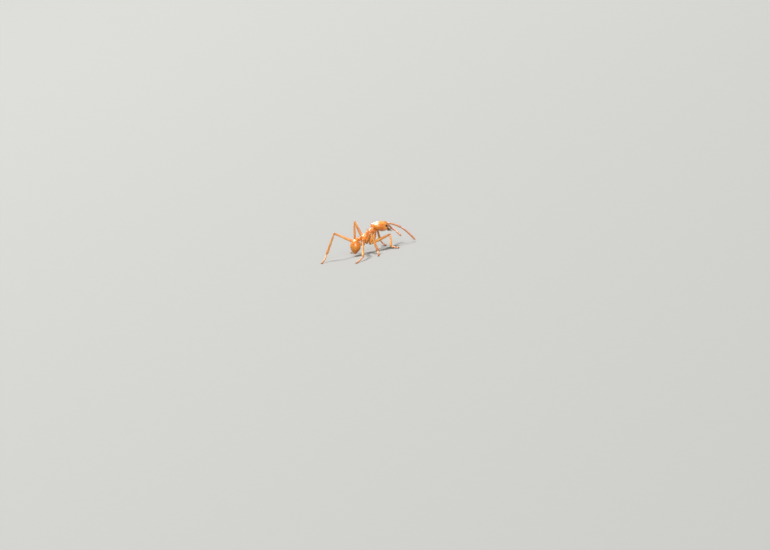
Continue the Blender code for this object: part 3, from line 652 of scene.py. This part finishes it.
def buildAntennae():
    count = antenna["segments"]
    for name, side in bothSides.items():
        scapeWay, lashWay = (heading(*way, side) for way in antenna["pose"][name])
        start = inHead(onSide(skull["socket"], side))
        t = np.linspace(0, 1, 90)
        path = archedPath(start, scapeWay, antenna["scapeLength"], antenna["scapeArch"], t)
        scape = limbGrid(path, through(antenna["scape"], t)[:, 0] / 2, 30)
        dark, root, end = antenna["scapeShade"]
        shade = ringShade(dark * (ridge(t, root) + ridge(1 - t, end)))
        makePiece([scape], [shade], "feelerShell", f"scape_{name}")
        bed("scape", scape)
        start = path[-1] + antenna["elbow"] * lashWay
        t = np.linspace(0, 1, count * 16 + 1)
        path = archedPath(start, lashWay, antenna["funiculusLength"], antenna["funiculusArch"], t)
        radii = through(antenna["funiculus"], t)[:, 0] / 2 * beaded(t, count, antenna["neck"])
        lash = limbGrid(path, radii, 26)
        dark, width = antenna["jointShade"]
        shade = ringShade(dark * ridge((t * count + 0.5) % 1.0 - 0.5, width))
        makePiece([lash], [shade], "feelerShell", f"funiculus_{name}")
        bed("lash", lash)


trunk = {
    "rear": (1.65, 2.72), "pitch": 24.0, "length": 3.95, "cuts": (1.55, 2.62), "squareness": 2.2,
    "seam": 0.05, "edge": 0.10, "spineShade": (0.0, 0.75, 1.5),
    # how dark the edges are, and the painted shade on the underside and in the grooves
    "shade": (0.55, 0.25, 0.6), "underside": (-1.0, -0.3), "darkest": 0.9,
    "form": [(0.00, 0.34, 0.34, -0.06), (0.25, 0.50, 0.52, -0.04), (0.75, 0.60, 0.60, 0.02), (1.20, 0.58, 0.57, 0.00),
             (1.60, 0.54, 0.52, -0.05), (2.10, 0.66, 0.63, 0.01), (2.75, 0.80, 0.66, 0.02), (3.30, 0.70, 0.55, -0.06),
             (3.70, 0.42, 0.38, -0.16), (3.95, 0.30, 0.30, -0.20)],
    "spines": {"propodeum": ((0.50, 0.34, 0.40), (-0.80, 0.42, 0.62), 0.85, 0.30),
               "mesothorax": ((2.25, 0.40, 0.48), (0.15, 0.35, 0.95), 0.50, 0.30),
               "pronotum": ((3.10, 0.58, 0.20), (0.45, 0.85, 0.42), 0.60, 0.30)},
    "relief": {
        "propodeum": (
            [(0.08, 0.50, 0.24, 46, 16), (0.08, 0.42, 0.26, -26, 17), (-0.05, 0.30, 0.22, 90, 26),
             (0.035, 0.80, 0.10, 12, 9), (-0.07, 0.80, 0.045, 12, 4.5), (0.05, 1.28, 0.14, 60, 26),
             (-0.04, 0.95, 0.20, 90, 14)],
            [(0.035, 0.045, (0.66, -14), (0.20, -6)), (0.03, 0.04, (1.5, -2), (0.9, -38))]),
        "mesothorax": (
            [(0.07, 2.25, 0.24, 50, 15), (0.05, 1.78, 0.14, 58, 14), (0.06, 2.15, 0.40, -42, 18),
             (-0.04, 2.1, 0.5, 90, 12)],
            [(0.045, 0.045, (2.60, 4), (1.62, -22)), (0.04, 0.045, (2.40, -4), (2.10, 30)),
             (0.03, 0.04, (2.0, 34), (1.60, 30))]),
        "pronotum": (
            [(0.07, 3.08, 0.24, 14, 15), (0.04, 2.90, 0.20, -34, 16), (0.035, 3.78, 0.07, 20, 90),
             (-0.05, 3.62, 0.07, 20, 90), (-0.03, 3.1, 0.35, 90, 12)],
            [(0.035, 0.04, (2.66, -6), (3.30, -26)), (0.025, 0.035, (3.30, -26), (3.60, -20))])}}
degreesToOne = 60  # degrees round the flank that count as 1 along the trunk


def inTrunk(points):
    return tilted(points, trunk["pitch"], (trunk["rear"][0], 0, trunk["rear"][1]))


# relief of a plate, by the share s along the trunk and the climb e round its flank in degrees:
# bosses are bells (height, s, its spread, e, its spread), grooves run straight between two places (depth, width);
# the grooves' lines are also given back as the mask of their painted shade
def plateRelief(s, e, bosses, grooves=()):
    lift = sum(height * ridge(s - s0, spread) * ridge(e - e0, turn) for height, s0, spread, e0, turn in bosses)
    dark = 0 * lift
    for depth, width, (s0, e0), (s1, e1) in grooves:
        run = np.array([s1 - s0, (e1 - e0) / degreesToOne])
        a, b = s - s0, (e - e0) / degreesToOne
        t = np.clip((a * run[0] + b * run[1]) / (run @ run), 0, 1)
        line = ridge(np.hypot(a - t * run[0], b - t * run[1]), width)
        lift, dark = lift - depth * line, np.maximum(dark, line)
    return lift, dark


# plate of the mesosoma: superellipse rings along its axis, drawn in at both edges by the seam, raised by its relief
def plateGrid(node, start, stop, rows=110, columns=168):
    t = np.linspace(0, 1, rows)[:, None]
    edge = np.sin(np.pi / 2 * np.clip(np.minimum(t, 1 - t) / trunk["edge"], 0, 1)) ** 0.5
    s = start + (stop - start) * t
    wide, high, lift = through(trunk["form"], s[:, 0]).T[..., None]
    c, v = roundSection(columns, trunk["squareness"])
    shrink = 1 - trunk["seam"] / wide * (1 - edge)
    p = np.stack([s + 0 * c, wide * shrink * c, lift + high * shrink * v], axis=-1)
    rise, grooves = plateRelief(s, climbOf(columns, trunk["squareness"]), *trunk["relief"][node])
    # darker at the edges; painted shade on the underside and in the grooves
    atEdge, below, inGroove = trunk["shade"]
    dark = atEdge * (1 - edge) + below * (1 - smooth(v, *trunk["underside"])) + inGroove * grooves
    p = p + (rise * edge)[..., None] * normalsOf(p)
    return inTrunk(p), np.clip(dark, 0, trunk["darkest"])


def buildTrunk():
    ends = (0.0,) + trunk["cuts"] + (trunk["length"],)
    for node, start, stop in zip(("propodeum", "mesothorax", "pronotum"), ends[:-1], ends[1:]):
        grid, dark = plateGrid(node, start, stop)
        grids, shades = [grid], [dark]
        place, way, length, thick = trunk["spines"][node]
        for side in bothSides.values():
            spineWay = tilted(onSide(way, side), trunk["pitch"])
            spine = spineGrid(inTrunk(onSide(place, side)), spineWay, length, thick)
            grids.append(spine)
            shades.append(spineShade(spine, *trunk["spineShade"]))
        makePiece(grids, shades, "bodyShell", node, f"{node}Plate")
        bed("plate", grid, way=(-1, 0, 0))


waist = {
    "petiole": {"ends": ((1.80, 2.80), (1.10, 3.04)),
                "form": [(0.0, 0.18, 0.18), (0.14, 0.22, 0.21), (0.24, 0.20, 0.19), (0.42, 0.26, 0.25),
                         (0.62, 0.36, 0.33), (0.78, 0.36, 0.33), (0.90, 0.27, 0.25), (1.0, 0.21, 0.20)],
                "bosses": [(0.10, 0.68, 0.16, 62, 18), (-0.05, 0.66, 0.3, 90, 16), (0.05, 0.55, 0.2, -55, 20),
                           (0.03, 0.68, 0.2, 8, 18)]},
    "postpetiole": {"ends": ((1.16, 3.02), (0.56, 3.10)),
                    "form": [(0.0, 0.20, 0.19), (0.10, 0.28, 0.25), (0.30, 0.43, 0.34), (0.48, 0.48, 0.38),
                             (0.68, 0.47, 0.37), (0.85, 0.39, 0.32), (1.0, 0.28, 0.25)],
                    "bosses": [(0.06, 0.55, 0.22, 58, 16), (-0.05, 0.6, 0.35, 90, 14), (0.05, 0.55, 0.22, 6, 20),
                               (-0.03, 0.55, 0.12, -30, 12)]}}
waistEnds = (0.4, 0.12)  # how dark both ends of a knot are, and how far


# rings of ellipses along the line between two points of the middle plane, sized by a form and a factor for each ring
def waistGrid(ends, form, t, factor=1.0, columns=96):
    a, b = (np.array([x, 0.0, z]) for x, z in ends)
    wide, high = through(form, t).T * factor
    across = np.array([0.0, 1.0, 0.0])
    up = np.cross(unit(b - a), across)
    c, s = roundSection(columns)
    centre = a + t[:, None] * (b - a)
    return (centre[:, None] + wide[:, None, None] * c[None, :, None] * across
            + high[:, None, None] * s[None, :, None] * up)


def buildWaist():
    t, (dark, reach) = np.linspace(0, 1, 72), waistEnds
    shade = dark * (ridge(t, reach) + ridge(1 - t, reach))
    for node, shape in waist.items():
        grid = waistGrid(shape["ends"], shape["form"], t)
        rise = plateRelief(t[:, None], climbOf(grid.shape[1]), shape["bosses"])[0]
        grid = grid + rise[..., None] * normalsOf(grid)
        makePiece([grid], [shade[:, None]], "bodyShell", node, f"{node}Node")
        bed("waist", grid, way=(-1, 0, 0))


gaster = {
    "ends": ((0.62, 3.10), (-0.38, 0.36)), "cuts": (0.56, 0.74, 0.88), "rows": (90, 44, 44, 44), "columns": 144,
    "form": [(0.0, 0.26, 0.26), (0.06, 0.56, 0.52), (0.18, 0.86, 0.80), (0.34, 1.05, 1.00), (0.50, 1.10, 1.05),
             (0.66, 0.98, 0.93), (0.80, 0.72, 0.68), (0.92, 0.40, 0.37), (1.0, 0.16, 0.14)],
    "tuck": 0.05, "tucked": 0.955, "lip": 0.035, "lipReach": 0.02, "hairs": (420, 150, 90, 60),
    "sideLine": {"climb": -34, "width": 0.045, "depth": 0.022, "start": (0.12, 0.2), "shade": 0.35},
    "frontBand": (0.55, 0.02), "rearBand": (0.35, 0.012)}


# gaster: each ring slips under the one before it, and all but the last end in a rounded lip;
# a fine groove with painted shade runs down each side
def buildGaster():
    ends = (0.0,) + gaster["cuts"] + (1.0,)
    tuck, tucked, sideLine = gaster["tuck"], gaster["tucked"], gaster["sideLine"]
    fromGroove = np.radians(climbOf(gaster["columns"]) - sideLine["climb"])
    (front, frontWidth), (rear, rearWidth) = gaster["frontBand"], gaster["rearBand"]
    for k, (start, stop) in enumerate(zip(ends[:-1], ends[1:])):
        t = np.linspace(max(start - tuck, 0), stop, gaster["rows"][k])
        under = smooth(t, start - tuck, start) if start else 1.0
        lip = np.sqrt(1 - (1 - np.clip((stop - t) / gaster["lipReach"], 0, 1)) ** 2)
        factor = (tucked + (1 - tucked) * under) * (1 - gaster["lip"] * (1 - lip) * (stop < 1))
        grid = waistGrid(gaster["ends"], gaster["form"], t, factor, gaster["columns"])
        groove = ridge(fromGroove, sideLine["width"]) * smooth(t, *sideLine["start"])[:, None]
        grid = grid - sideLine["depth"] * groove[..., None] * normalsOf(grid)
        band = front * ridge(t - start, frontWidth) * (start > 0) + rear * ridge(t - stop, rearWidth)
        # the side groove gets painted shade
        dark = np.clip(band[:, None] + sideLine["shade"] * groove, 0, 1)
        makePiece([grid], [dark], "gasterShell", f"gaster_{k + 1}", f"gasterRing{k + 1}")
        bed("gaster", grid, count=gaster["hairs"][k])


legs = {
    # hip, lengths of coxa, femur, tibia and tarsus, thickness of the coxa
    "sizes": {"front": ((3.80, 0.58, 3.20), (1.85, 4.50, 3.10, 2.60), 0.80),
              "mid": ((2.78, 0.52, 2.78), (1.05, 4.80, 3.90, 3.00), 0.64),
              "hind": ((1.96, 0.48, 2.50), (1.05, 6.00, 4.25, 2.75), 0.66)},
    # yaw and pitch of coxa, femur and tibia, yaw of the tarsus
    "pose": {("front", "left"): ((21, -77), (53, 41), (83, -85), -83),
             ("mid", "left"): ((130, -63), (105, 66), (171, -78), 115),
             ("hind", "left"): ((119, -61), (161, 37), (152, -56), 218),
             ("front", "right"): ((159, -61), (22, 12), (114, -37), 72),
             ("mid", "right"): ((156, -66), (87, 27), (91, -52), 107),
             ("hind", "right"): ((128, -52), (103, 17), (115, -36), 140)},
    "coxa": [(0.0, 0.82), (0.12, 0.97), (0.35, 0.98), (0.70, 0.76), (0.90, 0.62), (1.0, 0.48)],
    "trochanter": [(0.0, 0.28), (0.3, 0.36), (0.62, 0.38), (0.85, 0.34), (1.0, 0.24)],
    "femur": [(0.0, 0.24), (0.03, 0.28), (0.08, 0.36), (0.18, 0.48), (0.36, 0.56), (0.60, 0.52), (0.84, 0.41),
              (0.92, 0.42), (0.97, 0.44), (1.0, 0.36)],
    "tibia": [(0.0, 0.24), (0.03, 0.30), (0.07, 0.26), (0.12, 0.28), (0.25, 0.36), (0.60, 0.41), (0.88, 0.46),
              (0.97, 0.45), (1.0, 0.34)],
    # how dark the near and the far end are, and how far
    "shades": {"coxa": (0.2, 0.55, 0.10), "trochanter": (0.5, 0.5, 0.12), "femur": (0.5, 0.55, 0.035),
               "tibia": (0.6, 0.5, 0.035)},
    "ringPower": 1.15, "trochanterBack": 0.14, "trochanterLength": 0.44, "femurStep": 0.18,
    "kneeStep": 0.20, "kneeBend": 0.8, "kneeReach": 0.24, "longHairs": {("mid", "left"): 240}}
spur = {"back": 0.10, "out": 0.15, "length": 0.42, "way": (0.9, 0.25), "bend": 0.10, "radius": 0.038,
        "taper": 0.85, "shade": 0.5}
foot = {"joints": (0.0, 0.46, 0.60, 0.72, 0.83, 1.0), "neck": 0.20, "full": 0.30, "height": 0.14,
        "knuckle": (0.62, 0.94), "clearance": 0.002, "shade": (0.45, 0.06, 0.2)}
claw = {"length": 0.42, "thick": 0.095, "thin": 0.88, "spread": 28, "start": 0.02, "lift": 0.02, "rise": 0.10,
        "hook": 0.14, "rootShade": 0.2, "clearance": 0.001, "pad": (0.13, 0.085, 0.06), "padPlace": (0.14, 0.05)}


# tube along a straight way that comes in from the side at its start:
# path = start + t * way * length + enter * exp(-(t * length / reach) ^ 2)
def straightLimb(start, way, length, form, rows, columns=28, scale=1.0, enter=(0, 0, 0)):
    t = np.linspace(0, 1, rows) ** legs["ringPower"]
    path = start + t[:, None] * way * length + ridge(t * length, legs["kneeReach"])[:, None] * np.asarray(enter)
    return limbGrid(path, through(form, t)[:, 0] / 2 * scale, columns)


# shade of a segment: dark at both ends, by the legs' own table
def endShade(rows, segment):
    t, (first, last, reach) = np.linspace(0, 1, rows), legs["shades"][segment]
    return ringShade(first * ridge(t, reach) + last * ridge(1 - t, reach))


# spur: a thorn at the inner end of the tibia, place = start + t * way * length - bend * t ^ 2 inwards
def spurGrid(ankle, tibiaWay, inner):
    t = np.linspace(0, 1, 24)
    ahead, aside = spur["way"]
    start = ankle - spur["back"] * tibiaWay + inner * spur["out"]
    path = (start + t[:, None] * (ahead * tibiaWay + aside * inner) * spur["length"]
            - (t ** 2)[:, None] * inner * spur["bend"])
    return limbGrid(path, spur["radius"] * (1 - spur["taper"] * t ** 1.3), 12)


# foot: five joints on a quadratic curve that comes down to the floor and levels out; each swells to its far end
# and drops to a neck. Two hooked claws and the pad between them follow
def buildFoot(leg, ankle, yaw, length, side):
    level = heading(yaw, 0, side)
    drop = ankle[2] - foot["height"]
    toe = ankle + level * np.sqrt(length ** 2 - drop ** 2)
    toe[2] = foot["height"]
    knuckle = ankle + (toe - ankle) * foot["knuckle"][0]
    knuckle[2] = ankle[2] - drop * foot["knuckle"][1]
    joints = np.array(foot["joints"])
    t = np.unique(np.concatenate([np.linspace(a, b, 26) for a, b in zip(joints[:-1], joints[1:])]))
    k = np.clip(np.searchsorted(joints, t, side="right") - 1, 0, len(joints) - 2)
    share = (t - joints[k]) / np.diff(joints)[k]
    neck, full = foot["neck"], foot["full"]
    form = [(0, neck), (0.08, neck * 1.05), (0.5, (neck + full) / 2), (0.85, full), (0.95, full * 0.96), (1.0, neck)]
    radii = through(form, share)[:, 0] / 2
    path = ((1 - t) ** 2)[:, None] * ankle + (2 * t * (1 - t))[:, None] * knuckle + (t ** 2)[:, None] * toe
    path[:, 2] = np.maximum(path[:, 2], radii + foot["clearance"])
    grid = limbGrid(path, radii, 24)
    atNeck, width, atTip = foot["shade"]
    dark = ringShade(atNeck * ridge(np.minimum(share, 1 - share), width) + atTip * t)
    makePiece([grid], [dark], "legShell", f"tarsus_{leg}")
    bed("foot", grid)

    s = np.linspace(0, 1, 30)
    radii = claw["thick"] / 2 * (1 - claw["thin"] * s ** 1.2)
    parts, shades = [], []
    for turn in (-claw["spread"], claw["spread"]):
        path = toe + claw["start"] * level + s[:, None] * heading(yaw + turn, 0, side) * claw["length"]
        path[:, 2] = toe[2] + claw["lift"] + claw["rise"] * np.sin(np.pi * s * 0.9) - claw["hook"] * s ** 2.5
        path[:, 2] = np.maximum(path[:, 2], radii + claw["clearance"])
        parts.append(limbGrid(path, radii, 16))
        shades.append(ringShade(claw["rootShade"] + (1 - claw["rootShade"]) * s))
    (long, wide, high), (ahead, under) = claw["pad"], claw["padPlace"]
    axes = (level * long, np.cross(level, (0, 0, 1)) * wide, (0, 0, high))
    parts.append(eggGrid(toe + ahead * level - (0, 0, under), axes))
    makePiece(parts, shades + [0.0], "clawShell", name=pieceName(f"claws_{leg}"))


def buildLeg(pair, name):
    side = bothSides[name]
    hip, (coxaLength, femurLength, tibiaLength, tarsusLength), thick = legs["sizes"][pair]
    *ways, tarsusYaw = legs["pose"][pair, name]
    coxaWay, femurWay, tibiaWay = (heading(*way, side) for way in ways)
    leg, longHairs = f"{pair}_{name}", legs["longHairs"].get((pair, name))
    hip = onSide(hip, side)
    coxa = straightLimb(hip, coxaWay, coxaLength, legs["coxa"], 50, 40, scale=thick)
    makePiece([coxa], [endShade(50, "coxa")], "bodyShell", f"coxa_{leg}")
    bed("coxa", coxa)

    joint = hip + coxaWay * coxaLength
    trochanter = straightLimb(joint - legs["trochanterBack"] * coxaWay, unit(0.5 * coxaWay + femurWay),
                              legs["trochanterLength"], legs["trochanter"], 30)
    femur = straightLimb(joint + legs["femurStep"] * femurWay, femurWay, femurLength - legs["femurStep"],
                         legs["femur"], 100, 32)
    makePiece([trochanter, femur], [endShade(30, "trochanter"), endShade(100, "femur")], "legShell", f"femur_{leg}")
    bed("femurShort", femur)
    bed("femurLong", femur, count=longHairs)

    aside = unit(tibiaWay - femurWay * (tibiaWay @ femurWay)) * legs["kneeStep"]
    knee = joint + femurWay * femurLength + aside
    tibia = straightLimb(knee, tibiaWay, tibiaLength, legs["tibia"], 110, enter=-legs["kneeBend"] * aside)
    ankle = knee + tibiaWay * tibiaLength
    thorn = spurGrid(ankle, tibiaWay, unit(np.cross(tibiaWay, np.cross(femurWay, tibiaWay))))
    makePiece([tibia, thorn], [endShade(110, "tibia"), spur["shade"]], "legShell", f"tibia_{leg}")
    bed("tibiaShort", tibia)
    bed("tibiaLong", tibia, count=longHairs)
    buildFoot(leg, ankle, tarsusYaw, tarsusLength, side)


hair = {
    "rings": (0.0, 0.35, 0.72), "taper": 0.75, "straight": 0.6, "sunk": 0.02, "stray": 0.25, "leanSpread": 9,
    "lengths": (0.65, 1.25), "thicks": (0.7, 1.3), "clearance": 0.01, "firstSeed": 11,
    "quads": [(0, 3, 4, 1), (1, 4, 5, 2), (2, 5, 3, 0), (3, 6, 7, 4), (4, 7, 8, 5), (5, 8, 6, 3)],
    "triangles": [(6, 9, 7), (7, 9, 8), (8, 9, 6), (0, 1, 2)],
    "shade": (0, 0, 0, 0.4, 0.4, 0.4, 0.8, 0.8, 0.8, 1.0), "margin": 0.04, "patch": 0.003,
    "patchPoints": [(0, 0), (1, 0), (0.5, 1), (0, 0.3), (1, 0.3), (0.5, 0.6), (0.2, 0.5), (0.8, 0.5), (0.5, 0.8),
                    (0.5, 0.5)]}


# roots of the hairs on a grid, picked by the area of its cells, each with its upward part, its leaning part,
# its length and thickness, and its place on the grid as two shares
def sowHairs(rng, grid, count, length, lean, thick, way):
    rows, columns = grid.shape[:2]
    wrapped = np.concatenate([grid, grid[:, :1]], axis=1)
    corners = wrapped[:-1, :-1], wrapped[1:, :-1], wrapped[1:, 1:], wrapped[:-1, 1:]
    area = np.linalg.norm(np.cross(corners[2] - corners[0], corners[3] - corners[1]), axis=-1).ravel()
    pick = rng.choice(len(area), count, p=area / area.sum())
    i, j = np.divmod(pick, columns)
    u, v = rng.random(count)[:, None], rng.random(count)[:, None]
    weights = (1 - u) * (1 - v), u * (1 - v), u * v, (1 - u) * v
    root = sum(weight * corner.reshape(-1, 3)[pick] for weight, corner in zip(weights, corners))
    up = normalsOf(grid)[i, j]
    way = np.gradient(grid, axis=0)[i, j] if way is None else np.broadcast_to(way, root.shape)
    way = way + hair["stray"] * rng.normal(size=way.shape) * np.linalg.norm(way, axis=-1, keepdims=True)
    way = unit(way - up * (way * up).sum(axis=-1, keepdims=True) + 1e-9)
    lean = np.radians(lean + rng.normal(0, hair["leanSpread"], count))[:, None]
    lengths = length * rng.uniform(*hair["lengths"], count)
    thicks = thick * rng.uniform(*hair["thicks"], count)
    shares = np.column_stack([(i + u[:, 0]) / rows, (j + v[:, 0]) / columns])
    return root - hair["sunk"] * up, up * np.cos(lean), way * np.sin(lean), lengths, thicks, shares


# coat: from its root each hair rises along the normal and bends over towards its way:
# place = root + length * (cos(lean) * s * normal + sin(lean) * s * (0.6 + 0.4 s) * way), a three-sided cone in s.
# Its patch in OFBake lies round its root's place in the bed's own cell, row share across and column share up
def growCoat(coat, seed):
    rng = np.random.default_rng(seed)
    sown = [sowHairs(rng, *growth) for growth in beds[coat]]
    root, up, way, length, thick, shares = (np.concatenate(part) for part in zip(*sown))
    cells, margin = int(np.ceil(np.sqrt(len(sown)))), hair["margin"]
    bedNumber = np.repeat(np.arange(len(sown)), [len(part[0]) for part in sown])
    cell = np.column_stack([bedNumber % cells, bedNumber // cells])
    patch = (cell + margin + (1 - 2 * margin) * shares) / cells

    tip = root + length[:, None] * (up + way)
    root, up, way = (q[:, None, None] for q in (root, up, way))
    length, thick = (q[:, None, None, None] for q in (length, thick))
    s = np.array(hair["rings"])[None, :, None, None]
    spine = root + length * (up * s + way * s * (hair["straight"] + (1 - hair["straight"]) * s))
    across = unit(np.cross(up, way) + 1e-9)
    other = unit(np.cross(across, up + way))
    a = np.radians((90, 210, 330))[None, None, :, None]
    rings = spine + thick / 2 * (1 - hair["taper"] * s) * (np.cos(a) * across + np.sin(a) * other)
    points = np.concatenate([rings.reshape(len(rings), -1, 3), tip[:, None]], axis=1)
    dry = (points[..., 2] + home[2]).min(axis=1) > hair["clearance"]  # none dips into the floor
    points, patch, count = points[dry], patch[dry], int(dry.sum())

    quads, triangles = np.array(hair["quads"]), np.array(hair["triangles"])
    outward = points[:, 0] - points[:, :3].mean(axis=1)
    if (np.cross(points[:, 3] - points[:, 0], points[:, 4] - points[:, 0]) * outward).sum() < 0:
        quads, triangles = quads[:, ::-1], triangles[:, ::-1]
    offset = (np.arange(count) * points.shape[1])[:, None, None]
    faces = (quads + offset).reshape(-1, 4).tolist() + (triangles + offset).reshape(-1, 3).tolist()
    shade = np.tile(hair["shade"], count)
    mesh = addPiece(coat, points.reshape(-1, 3), faces, shade, "bristle").data
    perVertex = (patch[:, None] + hair["patch"] * (np.array(hair["patchPoints"]) - 0.5)).reshape(-1, 2)
    loops = np.zeros(len(mesh.loops), int)
    mesh.loops.foreach_get("vertex_index", loops)
    mesh.uv_layers.new(name="OFBake").data.foreach_set("uv", perVertex[loops].ravel())
    print(f"{coat}: {count} hairs, {count * 16} triangles")


buildHead()
buildJaws()
buildAntennae()
print("head, jaws and feelers built")
buildTrunk()
buildWaist()
buildGaster()
print("trunk and gaster built")
for pair, name in legs["pose"]:
    buildLeg(pair, name)
print("legs built")
for number, coat in enumerate(beds):
    growCoat(coat, hair["firstSeed"] + number)

# each light has the way towards it in right, up and back of the camera, its distance, size, power and colour
stage = {"floor": ((0.225, 0.227, 0.221), (0.21825, 0.22019, 0.21437)), "floorSize": 8.0, "floorRough": 0.75,
         "floorNoise": {"Scale": 400.0, "Detail": 4.0}, "sky": (0.92, 0.96, 1.0), "skyStrength": 0.40,
         "lightAim": (3, 0, 3),
         "lights": {"keyLight": ((-0.45, 1.0, -0.50), 3.0, 1.0, 170.0, (1.0, 0.98, 0.95)),
                    "fillLight": ((0.0, 0.45, 1.0), 4.0, 3.0, 150.0, (1.0, 0.98, 0.95))}}
view = {"azimuth": -14.0, "elevation": 8.0, "roll": 14.5, "distance": 0.88, "across": 0.154, "aim": (4.435, -5.217),
        "sensor": 36.0, "clip": (0.005, 50.0)}


def buildFloor():
    size = stage["floorSize"] / 2
    mesh = bpy.data.meshes.new("floor")
    mesh.from_pydata([(-size, -size, 0), (size, -size, 0), (size, size, 0), (-size, size, 0)], [], [(0, 1, 2, 3)])
    tree, shader = newMaterial("floorPaint")
    colour = mixColours(tree, texture(tree, "Noise", "Fac", stage["floorNoise"]), *stage["floor"])
    setInputs(tree, shader, {"Base Color": colour, "Roughness": stage["floorRough"]})
    mesh.materials.append(bpy.data.materials["floorPaint"])
    addObject("floor", mesh)


# puts an object at a place, with its right, up and back axes as columns
def setPlace(obj, axes, place):
    matrix = np.eye(4)
    matrix[:3, :3], matrix[:3, 3] = axes, place
    obj.matrix_world = Matrix(matrix.tolist())


def addLight(name, place, size, power, colour):
    data = bpy.data.lights.new(name, "AREA")
    data.shape, data.size, data.energy, data.color = "DISK", size, power, colour
    back = unit(place - (home + stage["lightAim"]) * mm)
    right = unit(np.cross((0, 0, 1), back))
    setPlace(addObject(name, data), np.column_stack([right, np.cross(back, right), back]), place)


# camera: turned round the ant by the azimuth, raised by the elevation, then rolled about its own line of sight
def buildCamera():
    azimuth, elevation, roll = (np.radians(view[k]) for k in ("azimuth", "elevation", "roll"))
    right = np.array([np.cos(azimuth), np.sin(azimuth), 0])
    back = np.array([np.sin(azimuth) * np.cos(elevation), -np.cos(azimuth) * np.cos(elevation), np.sin(elevation)])
    up = np.cross(back, right)
    aim = (right * view["aim"][0] + up * view["aim"][1] + home) * mm
    axes = np.column_stack([np.cos(roll) * right - np.sin(roll) * up, np.sin(roll) * right + np.cos(roll) * up, back])
    data = bpy.data.cameras.new("camera")
    data.sensor_width = view["sensor"]
    data.angle = 2 * np.arctan(view["across"] / 2 / view["distance"])
    data.clip_start, data.clip_end = view["clip"]
    camera = addObject("camera", data)
    setPlace(camera, axes, aim + back * view["distance"])
    bpy.context.scene.camera = camera
    return axes


def buildLight(cameraAxes):
    world = bpy.data.worlds.new("softRoom")
    world.use_nodes = True
    setInputs(world.node_tree, world.node_tree.nodes["Background"],
              {"Color": (*stage["sky"], 1), "Strength": stage["skyStrength"]})
    bpy.context.scene.world = world
    bpy.context.scene.view_settings.view_transform = "Standard"
    for name, (way, distance, size, power, colour) in stage["lights"].items():
        addLight(name, home * mm + distance * unit(cameraAxes @ way), size, power, colour)


buildFloor()
buildLight(buildCamera())
print("scene ready")
